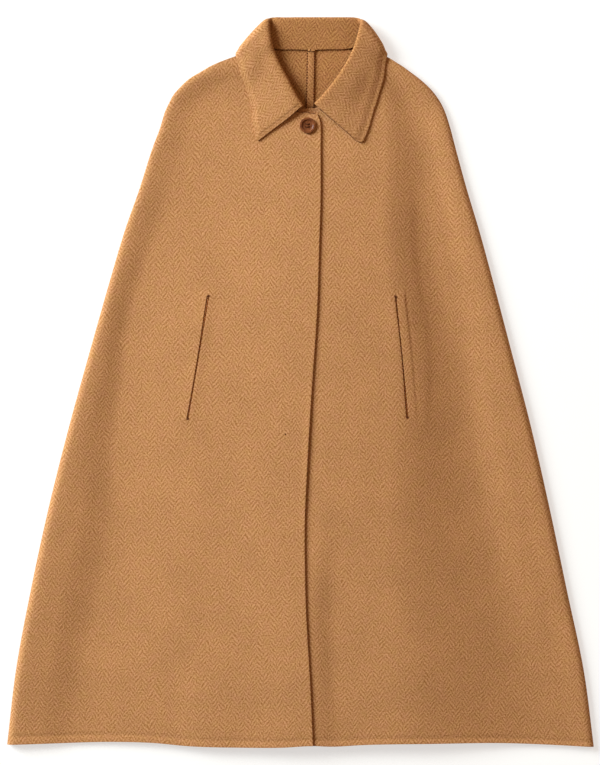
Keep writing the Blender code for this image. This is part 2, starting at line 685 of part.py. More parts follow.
def back_plan(side):
    """Plan of a back panel, from the shoulder and side seam to the centre-back seam."""
    outer = side_line(side)[0]
    edge_points = rows_down(side, outer)
    sign = -1.0 if side == "right" else 1.0
    alongs = np.array([NECKLINE_BACK_ALONG + NECK_TUCK, HEM[0].along - NECK_TUCK])
    seam = np.stack([centre_back(alongs) + sign * SEAM_GAP / 2, alongs], axis=1)
    inner_points = rows_down(side, seam)
    inward = inner_points - edge_points
    room = np.linalg.norm(inward, axis=1)
    rounded = np.minimum(BACK_ROUND, room * ROUND_SHARE) / room
    turn = spread(edge_points, edge_points + inward * rounded[:, None], round_parts())
    rest = spread(turn[:, -1], inner_points, np.linspace(0.0, 1.0, BACK_COLUMNS + 1)[1:])
    plan = np.concatenate([turn, rest], axis=1)
    return fit_to_hem(plan, BACK_HEM_INSET)


def back_middle(across, along):
    """Middle of the back's cloth: on the floor all the way across, lifted by the collar at the neck."""
    return CLOTH / 2 + neck_lift(along) + np.zeros_like(across)


def add_back(side):
    """Back panel: flat on the floor, lifted by the collar at the neck, turned up to the seam."""
    plan = back_plan(side)
    seam = SEAM_LEVEL - SEAM_GAP / 2 + neck_lift(plan[:, :1, 1])
    level = back_middle(plan[:, :, 0], plan[:, :, 1])
    points, normals = turn_to_seam(side, plan, level, seam, -level_normals(back_middle, plan))
    return add_wall("back_" + side, both_faces(points, normals, CLOTH))


def add_strap():
    """Strap of self cloth over the centre-back seam, on the inside of the back."""
    alongs = back_plan("right")[:, -1, 1]
    alongs[0] = NECKLINE_BACK_ALONG - STRAP_SHORT_AT_NECK
    alongs[-1] = HEM[0].along + STRAP_SHORT_AT_HEM
    across = np.array([-0.5, -0.3, 0.3, 0.5]) * STRAP_WIDTH
    middle = np.stack([centre_back(alongs), alongs], axis=1)
    plan = np.stack([middle + np.array([offset, 0.0]) for offset in across], axis=1)
    height = back_middle(plan[:, :, 0], plan[:, :, 1]) + CLOTH / 2 + STRAP_GAP + STRAP_CLOTH / 2
    points = np.concatenate([plan, height[:, :, None]], axis=2)
    return add_wall("centre_back_strap", both_faces(points, level_normals(back_middle, plan), STRAP_CLOTH))


def add_welt(side):
    """Folded strip in the outer side of the slit, level with the cloth and slightly proud."""
    lip = level_points(slit_line(side), row_levels(side)[:ROWS_IN_SLIT + 1])
    lip = points_along(lip, np.linspace(0.0, 1.0, WELT_ROWS + 1))
    direction = (lip[-1] - lip[0]) / np.linalg.norm(lip[-1] - lip[0])
    lip[0] += direction * WELT_GAP
    lip[-1] -= direction * WELT_GAP
    outward = -1.0 if side == "right" else 1.0
    offsets = SLIT_WIDTH + WELT_WIDTH * np.array([station.part for station in WELT_PROFILE])
    plan = lip[:, None, :] + np.stack([outward * offsets, 0.0 * offsets], axis=1)[None, :, :]
    top = front_top(side, plan[:, :, 0], plan[:, :, 1])
    rise = np.array([station.rise for station in WELT_PROFILE])
    crown = top + rise
    foot = top - CLOTH - rise * WELT_FOOT
    faces = [np.concatenate([plan, height[:, :, None]], axis=2) for height in (crown, foot)]
    return add_wall("welt_" + side, faces)


# ---------------------------------------------------------------- collar
def wrap_place(wrap, points):
    """Where points lie by the bending line: its two directions, along, outward, and its level there."""
    start = np.array(wrap.roll_end)
    run = np.array(wrap.shoulder_end) - start
    length = np.linalg.norm(run)
    onward = run / length
    outward = np.array([onward[1], -onward[0]])
    if outward[1] < 0.0:
        outward = -outward
    offset = points[..., :2] - start
    along = offset @ onward
    level = np.interp(along, [0.0, length], [wrap.roll_level, wrap.shoulder_level])
    return onward, outward, along, offset @ outward, level


def unbend(wrap, points):
    """Points under the backs, as they lay before the collar was bent down past the shoulder."""
    onward, outward, along, out, level = wrap_place(wrap, points)
    flat = points[..., :2] + (math.pi * WRAP_RADIUS - 2 * out)[..., None] * outward
    return np.concatenate([flat, (2 * level - points[..., 2])[..., None]], axis=-1)


def bend(wrap, points):
    """Bend points down past the shoulder, through half a turn about its line."""
    onward, outward, along, out, level = wrap_place(wrap, points)
    reach = points[..., 2] - level
    angle = np.clip(out / WRAP_RADIUS, 0.0, math.pi)
    beyond = np.maximum(out - math.pi * WRAP_RADIUS, 0.0)
    new_out = np.minimum(out, 0.0) + reach * np.sin(angle) - beyond
    flat = points[..., :2] + (new_out - out)[..., None] * outward
    return np.concatenate([flat, (level + reach * np.cos(angle))[..., None]], axis=-1)


def section_points(section, side):
    """The control points of one collar section, with heights above the floor, as before bending."""
    points = np.array([section.seam, section.roll, section.crown, section.turn, section.edge])
    if section.on == "back":
        return unbend(WRAPS[side], points)
    points[:, 2] += front_top(side, points[:, 0], points[:, 1]) + SEAM_GAP + COLLAR_CLOTH / 2
    return points


def unit(vector):
    """The vector at length 1."""
    return vector / np.linalg.norm(vector)


def section_curve(row, along_roll):
    """One section as a row of points, stand below fall, with a round turn at the roll line."""
    seam, roll, crown, turn, edge = row
    back = (unit(seam - roll) + unit(crown - roll)) * np.array([1.0, 1.0, 0.0])
    back = unit(back - along_roll * back.dot(along_roll))
    middle = roll + back * (COLLAR_CLOTH / 2 + ROLL_RADIUS)
    turned = [middle - (UPWARD * math.sin(angle) + back * math.cos(angle)) * ROLL_RADIUS
              for angle in (math.pi / 2, math.pi / 4, 0.0, -math.pi / 4, -math.pi / 2)]
    return curve_through([seam, (seam + turned[0]) / 2, *turned, crown, turn, edge], STRETCH_STEPS)


def settle(wrap, fall):
    """Let the fall lie flat on the floor once it is past the shoulder."""
    out, level = wrap_place(wrap, fall)[3:]
    past = smooth_step((out / (math.pi * WRAP_RADIUS) - SETTLE_FROM) / SETTLE_OVER)
    fall[:, :, 2] += (2 * level - COLLAR_CLOTH / 2 - fall[:, :, 2]) * past


def half_collar(side, sections):
    """Both faces of the collar from the centre back to one front end, one section further than that."""
    controls = np.array([section_points(section, side) for section in sections])
    steps = [COLLAR_STEPS if first.on == second.on else WRAP_STEPS
             for first, second in zip(sections, sections[1:])]
    rows = np.stack([curve_through(controls[:, index], steps) for index in range(controls.shape[1])], axis=1)
    along_roll = np.gradient(rows[:, 1], axis=0) * np.array([1.0, 1.0, 0.0])
    points = np.array([section_curve(row, unit(direction)) for row, direction in zip(rows, along_roll)])
    settle(WRAPS[side], points[:, FALL_COLUMN:])
    return [bend(WRAPS[side], face) for face in both_faces(points, grid_normals(points), COLLAR_CLOTH)]


def add_collar():
    """Collar: one wall from the neck seam up the stand, over the roll and down the fall."""
    right = half_collar("right", COLLAR[:CENTRE_SECTION + 2])
    left = half_collar("left", COLLAR[CENTRE_SECTION - 1:])
    faces = [np.concatenate([first[:-COLLAR_STEPS], second[COLLAR_STEPS + 1:]])
             for first, second in zip(right, left)]
    return add_wall("collar", faces)


# ---------------------------------------------------------------- button
def add_button():
    """Round button with a raised rim round a dished middle."""
    across, along = BUTTON_PLACE
    base = float(front_top("right", across, along)) + BUTTON_SHANK
    radius = BUTTON_DIAMETER / 2
    mesh = bmesh.new()
    rings = []
    for station in BUTTON_PROFILE:
        height = (base + station.up * BUTTON_THICKNESS) * MM
        ring = []
        for index in range(BUTTON_SIDES if station.out else 1):
            angle = 2 * math.pi * index / BUTTON_SIDES
            ring.append(mesh.verts.new(((across + radius * station.out * math.cos(angle)) * MM,
                                        (along + radius * station.out * math.sin(angle)) * MM, height)))
        rings.append(ring)
    for lower, upper in zip(rings, rings[1:]):
        for index in range(BUTTON_SIDES):
            following = (index + 1) % BUTTON_SIDES
            corners = [lower[index % len(lower)], lower[following % len(lower)],
                       upper[following % len(upper)], upper[index % len(upper)]]
            mesh.faces.new(list(dict.fromkeys(corners)))
    return add_object("button", mesh, "brown horn button")


def build():
    """Lay out the whole cape, from the floor up."""
    clear_scene()
    for side in ("right", "left"):
        add_back(side)
    add_strap()
    for side in ("left", "right"):
        add_front(side)
        add_welt(side)
    add_collar()
    add_button()


build()
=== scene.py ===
# %% [markdown]
# # A wool cape, laid flat
# The cape is a long flared coat without sleeves, in camel herringbone wool. It lies on its back, so
# its cloth is two layers, front over back, that meet along one seam from the collar to the hem. A
# garment like this could be draped by simulation, but a simulated sheet chooses its own folds. Here
# each panel is a grid whose points are set by short tables of real sizes in millimetres, so every
# fold, edge and opening lies where it should, and is easy to find and change.

import math
from collections import namedtuple

import bpy
import numpy as np
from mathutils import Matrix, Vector


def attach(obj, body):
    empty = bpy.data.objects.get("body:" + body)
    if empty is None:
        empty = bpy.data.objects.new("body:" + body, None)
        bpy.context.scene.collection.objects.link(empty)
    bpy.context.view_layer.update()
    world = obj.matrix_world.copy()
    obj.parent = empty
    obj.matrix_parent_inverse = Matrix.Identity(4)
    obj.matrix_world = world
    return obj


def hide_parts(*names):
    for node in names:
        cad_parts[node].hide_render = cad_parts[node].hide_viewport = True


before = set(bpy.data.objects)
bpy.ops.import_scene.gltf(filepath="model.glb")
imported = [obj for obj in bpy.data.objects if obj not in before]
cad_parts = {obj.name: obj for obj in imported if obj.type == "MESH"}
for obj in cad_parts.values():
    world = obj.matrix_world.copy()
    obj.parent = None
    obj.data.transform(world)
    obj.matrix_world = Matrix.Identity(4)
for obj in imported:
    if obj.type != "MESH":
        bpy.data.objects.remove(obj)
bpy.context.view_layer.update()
MM = 0.001
print("solids:", sorted(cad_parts))

# %% [markdown]
# ## Reading sizes from tables
# A tailor notes a pattern as a few widths at a few heights, and joins them with a curved ruler. The
# functions below are that ruler. `read_table` reads a column of a table smoothly between its rows,
# and `curve_through` draws a curve through a few points without overshooting them.

# %% Curves and tables
UPWARD = np.array([0.0, 0.0, 1.0])
TINY = 1e-6


def table(columns, *rows):
    """Rows of real sizes, with named columns."""
    row_type = namedtuple("Row", columns)
    return [row_type(*row) for row in rows]


def smooth_step(value):
    """0 below 0, 1 above 1, with level ends."""
    clipped = np.clip(value, 0.0, 1.0)
    return clipped * clipped * (3.0 - 2.0 * clipped)


def ramp(value, start, end):
    """0 before the start, 1 beyond the end, with level ends."""
    return smooth_step((value - start) / (end - start))


def soft_bump(value):
    """1 at 0, falling to 0 at -1 and 1, with level ends."""
    return 0.5 + 0.5 * np.cos(math.pi * np.clip(value, -1.0, 1.0))


def unit(vectors):
    """The vectors at length 1."""
    return vectors / np.linalg.norm(vectors, axis=-1, keepdims=True)


def smooth_way(part, start, end, leave, arrive):
    """The place at a part of the way from start to end, with these slopes at its two ends."""
    squared = part * part
    cubed = squared * part
    return ((2 * cubed - 3 * squared + 1) * start + (cubed - 2 * squared + part) * leave
            + (3 * squared - 2 * cubed) * end + (cubed - squared) * arrive)


def read_table(rows, column, key, where):
    """A column of the table, read smoothly between the rows at the places where."""
    keys = np.array([getattr(row, key) for row in rows], float)
    values = np.array([getattr(row, column) for row in rows], float)
    if keys[0] > keys[-1]:
        keys, values = keys[::-1], values[::-1]
    slopes = np.gradient(values, keys)
    place = np.clip(where, keys[0], keys[-1])
    index = np.clip(np.searchsorted(keys, place) - 1, 0, len(keys) - 2)
    span = keys[index + 1] - keys[index]
    return smooth_way((place - keys[index]) / span, values[index], values[index + 1],
                      span * slopes[index], span * slopes[index + 1])


def curve_through(points, steps):
    """Points on a smooth curve through the given ones; steps is one number, or one a stretch."""
    given = np.array(points, float)
    padded = np.vstack([2 * given[0] - given[1], given, 2 * given[-1] - given[-2]])
    made = []
    for index, count in enumerate(np.broadcast_to(steps, len(given) - 1)):
        before, start, end, after = padded[index:index + 4]
        first, middle, last = (max(np.linalg.norm(far - near), TINY) ** 0.5 for near, far
                               in ((before, start), (start, end), (end, after)))
        leave = ((start - before) / first - (end - before) / (first + middle)
                 + (end - start) / middle) * middle
        arrive = ((end - start) / middle - (after - start) / (middle + last)
                  + (after - end) / last) * middle
        parts = np.linspace(0.0, 1.0, count, endpoint=False)[:, None]
        made.append(smooth_way(parts, start, end, leave, arrive))
    return np.vstack(made + [given[-1:]])


def length_along(line):
    """How far each point of a line is from its start, along the line."""
    return np.concatenate([[0.0], np.cumsum(np.linalg.norm(np.diff(line, axis=0), axis=1))])


def points_along(line, fractions):
    """Points of a line at these fractions of its length."""
    lengths = length_along(line)
    wanted = fractions * lengths[-1]
    return np.stack([np.interp(wanted, lengths, column) for column in line.T], axis=-1)


def across_at(line, along):
    """Where a downward line is across, at these heights."""
    return np.interp(-along, -line[:, 1], line[:, 0])


print("a ramp's middle:", ramp(5.0, 0.0, 10.0))

# %% [markdown]
# ## The cut, in plan
# The wearer's right is at -X and the collar at +Y. The two seams curve out over the shoulders and
# then run almost straight to the hem, which waves by a few millimetres. The right front laps over
# the left one, and its free edge leans over towards the wearer's right as it goes down.

# %% Outline, hem, lap, necklines and slits
SIDE_STEPS = 12
SIGN = {"right": -1.0, "left": 1.0}
OUTLINE = table(
    "along right left",
    (481, -65, 98), (470.5, -98.5, 126.5), (461, -122.5, 141.5), (449.5, -143, 157.5),
    (438, -162, 173), (426, -175, 186.5), (414.5, -185, 196.5), (403, -191, 204),
    (391.5, -196.5, 209.5), (368.5, -203.5, 217), (336.5, -215.5, 225.5), (278.5, -234, 241.5),
    (220.5, -254.5, 259), (162.5, -272, 275), (46.5, -305, 305.5), (-69.5, -337, 335.5),
    (-185.5, -366, 362), (-301.5, -391, 386.5), (-417.5, -412.5, 411), (-528, -425.6, 425.6))
HEM = table(
    "across along",
    (-425.6, -525.6), (-350, -523.5), (-270, -521.6), (-215, -522.8), (-165, -527),
    (-90, -528.8), (-25, -528.4), (15, -526), (45, -527.2), (90, -524.8), (200, -523),
    (290, -523), (350, -525.2), (425.6, -529))
LAP = table(
    "along edge overlap",
    (387, 24, 32), (377, 28.3, 36), (336, 29, 37), (264, 29, 37), (191, 26.8, 35), (104, 24, 33),
    (-26, 15.2, 30), (-128, 9.4, 28), (-206, 6.1, 27), (-273, 6.5, 27), (-331, 8, 27),
    (-447, 14.5, 28), (-529, 18.1, 30))
NECKLINES = {
    "right": ((-65, 481), (-62, 468), (-53, 450), (-42, 433), (-27, 413), (-14, 398), (-4, 392),
              (9, 390.6), (24, 388)),
    "left": ((98, 481), (92, 468), (83, 451), (71, 432), (56, 414), (38, 401), (22, 397),
             (6, 396), (-8, 395)),
}
NECKLINE_BACK_ALONG = 482.0
NECK_TUCK = 3.0
CENTRE_BACK_TOP = 15.0
CENTRE_BACK_HEM = 0.0
BACK_HEM_INSET = 1.5
Slit = namedtuple("Slit", "top bottom bow")
SLITS = {
    "right": Slit((-131.9, 125.0), (-162.2, -54.0), 0.0),
    "left": Slit((135.8, 124.0), (152.6, -51.5), 1.4),
}
SLIT_OPENINGS = {
    "right": table("down width", (0, 3.7), (0.15, 3.4), (0.4, 2.5), (0.8, 2.4), (1, 3)),
    "left": table("down width", (0, 2.9), (0.3, 2), (0.6, 2.1), (0.85, 3.2), (1, 3.6)),
}
SLIT_WIDTH = 2.4
WELT_WIDTH = 14.0
WELT_GAP = 0.6
WELT_BAND = WELT_WIDTH + SLIT_WIDTH + WELT_GAP
SLIT_LINE_ABOVE = 60.0
SLIT_LINE_BELOW = 12.0


def hem_along(across):
    """Where the front hem lies, for each place across."""
    return read_table(HEM, "along", "across", across)


print("hem from", HEM[0].across, "to", HEM[-1].across, "mm")

# %% [markdown]
# ## How high the cloth lies
# Heavy wool doesn't lie dead flat. The seams at the sides are soft rolls, the middle of the fronts
# swells towards the lap, and one long fold drops down the wearer's left, with a faint crease in it
# beside the slit. Each fold is a row of stations down the cape, with its crest line and how far it
# reaches to either side. Adding soft bumps keeps the surface smooth, as thick cloth is.

# %% Levels of the layers
CLOTH = 2.6
COLLAR_CLOTH = 3.0
SEAM_GAP = 0.3
REST_LEVEL = 6.0
SEAM_LEVEL = 4.2
FRONT_ROUND = 9.0
BACK_ROUND = 5.0
EDGE_LOFT = 2.3
EDGE_LOFT_REACH = 42.0
CLEAR_OF_COLLAR = (479.0, 450.0)
NECK_LIFT = 4.1
NECK_LIFT_SPAN = (395.0, 455.0)
LAP_LIFT = 2.9
LAP_LIFT_SPAN = (445.0, 400.0)
LAP_RAMP = (-150.0, -6.0)
CENTRE_LOFT = table(
    "along rise_from rise_to fall_from fall_to rise swell",
    (481, -100, -50, 104, 133, 0.5, 0), (467, -109, -56, 104, 133, 0.4, 0),
    (423, -153, -80, 117, 151, 0.5, 2.5), (336, -172, -95, 121, 180, 0.6, 6.2),
    (220, -215, -124, 117, 192, 2.2, 8.2), (112, -250, -150, 126, 214, 4.3, 9.5),
    (3, -265, -140, 133, 244, 6.2, 9), (-106, -272, -137, 128, 259, 7.2, 9),
    (-215, -272, -140, 124, 286, 7.4, 9.6), (-323, -296, -158, 128, 326, 6.4, 11),
    (-432, -316, -162, 136, 352, 5.2, 11.4), (-529, -322, -165, 144, 364, 4, 10))
SWELL_TO = 95.0
SWELL_OVERLAP = 45.0
RIDGE_START = 40.0
RIDGE_COLUMNS = "along crest right_reach left_reach height"
RIDGES = {
    "right side roll": table(
        RIDGE_COLUMNS,
        (410, -180, 50, 30, 0), (336, -192, 60, 42, 0.4), (220, -239, 60, 38, 1.2),
        (112, -275, 60, 36, 2.6), (3, -295, 65, 40, 4.2), (-106, -320, 70, 52, 5.2),
        (-215, -340, 80, 70, 6.3), (-323, -360, 85, 67, 6), (-432, -381, 85, 67, 5),
        (-529, -389, 85, 64, 4)),
    "left side roll": table(
        RIDGE_COLUMNS,
        (410, 196, 30, 50, 0), (336, 211, 29, 55, 1.6), (220, 241, 36, 60, 2.4),
        (112, 266, 44, 60, 3.2), (3, 288, 46, 65, 4), (-106, 310, 58, 70, 4),
        (-215, 330, 65, 80, 3.2), (-323, 352, 73, 85, 2), (-432, 375, 73, 85, 1.2),
        (-529, 386, 73, 85, 1)),
    "trough beside the lap": table(
        RIDGE_COLUMNS,
        (-171, 57, 32, 80, 0), (-258, 54, 34, 100, -2), (-345, 50, 36, 130, -3.8),
        (-432, 54, 36, 130, -3.6), (-529, 56, 36, 130, -2.4)),
    "crease beside the left slit": table(
        RIDGE_COLUMNS,
        (300, 152, 50, 14, 0), (240, 156, 50, 14, 0.6), (162, 161, 55, 13, 0.75),
        (129, 167.5, 60, 12, 0.6), (96, 174, 60, 12, 0.5), (46, 179, 60, 12, 0.6),
        (-4, 180, 60, 12, 0.65), (-38, 179, 60, 12, 0.5), (-90, 170, 60, 14, 0)),
    "swell at the right hem": table(
        RIDGE_COLUMNS,
        (-330, -132, 55, 80, 0), (-432, -134, 55, 80, 1.6), (-529, -136, 55, 80, 3)),
}


def neck_lift(along):
    """How far the collar's folded fall lifts the cloth that lies on it."""
    return NECK_LIFT * ramp(along, *NECK_LIFT_SPAN)


def clear_of_collar(along):
    """0 at the neck ends of the seams, which the collar presses flat, 1 further down."""
    return ramp(along, *CLEAR_OF_COLLAR)


def side_distance(across, along):
    """Rough distance from the nearer shoulder or side seam, square to it."""
    distances = []
    for side, sign in SIGN.items():
        above, edge, below = (read_table(OUTLINE, side, "along", along + step)
                              for step in (1.0, 0.0, -1.0))
        distances.append(-sign * (across - edge) / np.sqrt(1.0 + ((above - below) / 2.0) ** 2))
    return np.minimum(*distances)


def read_row(rows, along):
    """All columns of a table but the first, at these heights."""
    return [read_table(rows, name, "along", along) for name in rows[0]._fields[1:]]


def centre_loft(across, along):
    """Height of the raised middle of the fronts."""
    rise_from, rise_to, fall_from, fall_to, rise, swell = read_row(CENTRE_LOFT, along)
    raised = (rise * ramp(across, rise_from, rise_to)
              + swell * ramp(across, rise_to - SWELL_OVERLAP, SWELL_TO))
    return raised * (1.0 - ramp(across, fall_from, fall_to))


def ridge_height(rows, across, along):
    """Height of one soft ridge, or depth of one trough."""
    crest, right_reach, left_reach, height = read_row(rows, along)
    offset = across - crest
    reach = np.where(offset < 0.0, right_reach, left_reach)
    started = smooth_step((rows[0].along - along) / RIDGE_START)
    return height * soft_bump(offset / reach) * started


def laid_level(side, across, along):
    """Top of a front, folds and lap counted, before its finer details."""
    level = REST_LEVEL + neck_lift(along) + centre_loft(across, along)
    loft = EDGE_LOFT * clear_of_collar(along)
    level = level + loft * soft_bump(side_distance(across, along) / EDGE_LOFT_REACH)
    for rows in RIDGES.values():
        level = level + ridge_height(rows, across, along)
    if side == "right":
        level = level + LAP_LIFT * ramp(along, *LAP_LIFT_SPAN) * ramp(across, *LAP_RAMP)
    return level


print("folds:", ", ".join(RIDGES))

# %% [markdown]
# ## Rows and columns of a panel
# A panel's grid follows its cut. Rows fan from the neckline to the seam and are level from the arm
# slit down. Columns run from the side seam, over its turned edge and past the slit, to the lap.
# The grid is closer where the cloth turns, and one band of columns is as wide as the slit with its
# welt, so that the opening can be cut along the grid.

# %% Plans of the panels
ROWS_TO_SLIT = 84
ROWS_IN_SLIT = 46
ROWS_TO_HEM = 118
HEM_SPACING = 1.25
SHOULDER_SPACING = 1.15
ROUND_STEPS = 9
ROUND_SHARE = 0.3
WELT_SHARE = 0.16
COLUMNS_OUTSIDE = 42
COLUMNS_OVER_WELT = 14
COLUMNS_IN_SLIT = 2
COLUMNS_INSIDE = 42
LAP_SPACING = 1.2


def steps_on(count, spacing=1.0):
    """Parts of the way at which each of so many steps ends, closer near the end if above 1."""
    return 1.0 - (1.0 - np.linspace(0.0, 1.0, count + 1)[1:]) ** spacing


def side_line(side):
    """Shoulder and side seam in plan, at the middle of the cloth, and the way out from it."""
    line = curve_through([(getattr(level, side), level.along) for level in OUTLINE], SIDE_STEPS)
    step = np.gradient(line, axis=0)
    outward = unit(SIGN[side] * np.stack([-step[:, 1], step[:, 0]], axis=1))
    return line - outward * CLOTH / 2, outward


def part_above(line, along):
    """The stretch of a line that starts at its top and ends at this height."""
    crossing = int(np.argmax(line[:, 1] < along))
    start, end = line[crossing - 1], line[crossing]
    part = (start[1] - along) / (start[1] - end[1])
    return np.vstack([line[:crossing], start + part * (end - start)])


def level_points(line, alongs):
    """Points of a downward line at these heights."""
    return np.stack([across_at(line, alongs), alongs], axis=1)


def row_levels(side):
    """Heights of the level rows: through the slit, then down to the hem, closer near it."""
    top, bottom = SLITS[side].top[1], SLITS[side].bottom[1]
    to_hem = bottom + (HEM[0].along - bottom) * steps_on(ROWS_TO_HEM, HEM_SPACING)
    return np.concatenate([np.linspace(top, bottom, ROWS_IN_SLIT + 1), to_hem])


def rows_down(side, line):
    """Row ends on a line from the neck to the hem: spaced along it, then level."""
    fractions = np.linspace(0.0, 1.0, ROWS_TO_SLIT + 1) ** SHOULDER_SPACING
    upper = points_along(part_above(line, SLITS[side].top[1]), fractions)
    return np.vstack([upper[:-1], level_points(line, row_levels(side))])


def lap_line(side):
    """Front edge in plan, from the neckline to the hem."""
    points = [(point.edge - (point.overlap if side == "left" else 0.0), point.along)
              for point in LAP]
    return curve_through([NECKLINES[side][-1]] + points[1:], SIDE_STEPS)


def slit_line(side):
    """Inner lip of the slit, run on up to the neckline and down to the hem."""
    slit = SLITS[side]
    start = points_along(curve_through(NECKLINES[side], SIDE_STEPS), 0.5)
    top, bottom = np.array(slit.top), np.array(slit.bottom)
    run = (bottom - top) / (top[1] - bottom[1])
    middle = (top + bottom) / 2 + np.array([SIGN[side] * slit.bow, 0.0])
    foot = bottom + run * (bottom[1] - HEM[0].along + SLIT_LINE_BELOW)
    above = top - run * SLIT_LINE_ABOVE
    return curve_through([start, (start + above) / 2, above, top, middle, bottom, foot],
                         SIDE_STEPS)


def part_down_slit(side, along):
    """0 at the top of the slit and above it, 1 at its foot and below."""
    top, bottom = SLITS[side].top[1], SLITS[side].bottom[1]
    return np.clip((top - along) / (top - bottom), 0.0, 1.0)


def slit_width(side, along):
    """How far the slit gapes at each height; the width at its ends holds beyond them."""
    return read_table(SLIT_OPENINGS[side], "width", "down", part_down_slit(side, along))


def spread(start, end, parts):
    """Points between two rows of ends, at these parts of the way."""
    return start[:, None, :] + (end - start)[:, None, :] * parts[None, :, None]


def turned_columns(start, inward, width):
    """Columns over a turned edge, closer where it stands upright."""
    parts = 1.0 - np.cos(np.linspace(0.0, math.pi / 2, ROUND_STEPS + 1))
    return spread(start, start + inward * width, parts)


def fit_to_neckline(plan, curve):
    """Bend the top rows so that the first one lies on the neckline."""
    lengths = length_along(plan[0])
    shift = points_along(curve, lengths / lengths[-1]) - plan[0]
    for row in range(ROWS_TO_SLIT):
        plan[row] += shift * (1.0 - row / ROWS_TO_SLIT) ** 2
    return plan


def fit_to_hem(plan, inset):
    """Slide the lowest rows so that the last one lies on the waving hem."""
    first = ROWS_TO_SLIT + ROWS_IN_SLIT
    shift = hem_along(plan[-1, :, 0]) + inset - plan[-1, :, 1]
    for row in range(first, len(plan)):
        plan[row, :, 1] += shift * (row - first) / (len(plan) - 1 - first)
    return plan


def front_plan(side):
    """Plan of a front panel as rows of points, and the columns of cells that the slit takes."""
    edge, lip, lap = (rows_down(side, line)
                      for line in (side_line(side)[0], slit_line(side), lap_line(side)))
    room = np.linalg.norm(lip - edge, axis=1)[:, None]
    inward = (lip - edge) / room
    band = np.minimum(WELT_BAND, room * WELT_SHARE)
    welt = lip - inward * band
    fold = lip - inward * band * slit_width(side, lip[:, 1:]) / WELT_BAND
    turn = turned_columns(edge, inward, np.minimum(FRONT_ROUND, room * ROUND_SHARE))
    plan = np.concatenate([turn, spread(turn[:, -1], welt, steps_on(COLUMNS_OUTSIDE)),
                           spread(welt, fold, steps_on(COLUMNS_OVER_WELT)),
                           spread(fold, lip, steps_on(COLUMNS_IN_SLIT)),
                           spread(lip, lap, steps_on(COLUMNS_INSIDE, LAP_SPACING))], axis=1)
    plan = fit_to_neckline(plan, curve_through(NECKLINES[side], SIDE_STEPS))
    first = ROUND_STEPS + COLUMNS_OUTSIDE + COLUMNS_OVER_WELT
    return fit_to_hem(plan, 0.0), range(first, first + COLUMNS_IN_SLIT)


print("rows and columns of a front:", front_plan("right")[0].shape[:2])

# %% [markdown]
# ## Pressed and sewn details of the fronts
# The hem is turned up and caught by hand about a centimetre above its fold, which pulls a faint
# groove there and lifts the fold below it. The lap's edge is turned in, so it is a little thicker
# than the cloth beside it, and it springs up where nothing holds it. The lips of each arm slit pout
# a little, and outside them a folded welt and its facing are felt through the cloth as a soft step.
# Between the wings of the collar, a strip of the left front's neck edge stands above the right one.

# %% Details on the fronts
HEM_GROOVE_RIGHT = 11.5
HEM_GROOVE_LEFT = 6.5
HEM_GROOVE_DEPTH = 0.5
HEM_GROOVE_REACH = 5.0
HEM_FOLD_RISE = 0.45
LAP_FOLD_WIDTH = 9.0
LAP_FOLD_RISE = 0.15
LAP_SPRING_RISE = 0.5
LAP_SPRING_MIDDLE = -110.0
LAP_SPRING_REACH = 150.0
SLIT_RELIEF = {
    "right": table(
        "offset rise",
        (-22, 0), (-14, 0), (-8, 0.2), (-3.5, 0.6), (0, 0.95), (2.4, 1.15), (6, 1), (14, 0.6),
        (24, 0.25), (34, 0)),
    "left": table(
        "offset rise",
        (-12, 0), (-7, 0.1), (-3, 0.3), (0, 0.4), (2.4, -0.1), (4.5, 0.1), (8, 0.35), (11, 0.5),
        (14.2, 0.45), (16.4, -0.3), (18.6, -0.05), (26, 0.05), (36, 0)),
}
SLIT_FADE = 8.0
SLIT_LOW_SHARE = {"right": 0.6, "left": 0.25}
STRIP_RISE = 1.6
STRIP_SPAN = (389.5, 393.0)
STRIP_MIDDLE = 10.0
STRIP_REACH = 15.0


def hem_detail(across, along):
    """Groove where the hem is caught, and the fold rising below it."""
    above = along - hem_along(across)
    part = np.clip((across - HEM[0].across) / (HEM[-1].across - HEM[0].across), 0.0, 1.0)
    groove = HEM_GROOVE_RIGHT + (HEM_GROOVE_LEFT - HEM_GROOVE_RIGHT) * part
    dip = -HEM_GROOVE_DEPTH * soft_bump((above - groove) / HEM_GROOVE_REACH)
    return dip + HEM_FOLD_RISE * smooth_step((groove - above) / groove)


def lap_detail(side, across, along):
    """The right front's turned-in edge."""
    if side == "left":
        return 0.0
    inside = read_table(LAP, "edge", "along", along) - across
    spring = LAP_SPRING_RISE * soft_bump((along - LAP_SPRING_MIDDLE) / LAP_SPRING_REACH)
    return (LAP_FOLD_RISE + spring) * (1.0 - smooth_step(inside / LAP_FOLD_WIDTH))


def slit_detail(side, across, along):
    """The lips of the slit, and the welt felt outside them; both die out past its ends."""
    offset = SIGN[side] * (across - across_at(slit_line(side), along))
    relief = read_table(SLIT_RELIEF[side], "rise", "offset", offset)
    inside = np.minimum(SLITS[side].top[1] - along, along - SLITS[side].bottom[1])
    strength = 1.0 - (1.0 - SLIT_LOW_SHARE[side]) * part_down_slit(side, along)
    return relief * strength * smooth_step((inside + SLIT_FADE) / SLIT_FADE)


def neck_detail(side, across, along):
    """The left front's neck edge, which swells up between the wings above the right one."""
    if side == "right":
        return 0.0
    return STRIP_RISE * ramp(along, *STRIP_SPAN) * soft_bump((across - STRIP_MIDDLE) / STRIP_REACH)


def front_top(side, across, along):
    """Top of the front panel on this side."""
    details = (lap_detail, slit_detail, neck_detail)
    return (laid_level(side, across, along) + hem_detail(across, along)
            + sum(detail(side, across, along) for detail in details))


print("top of the right front at the button, mm:", front_top("right", 10.3, 371.2).round(1))

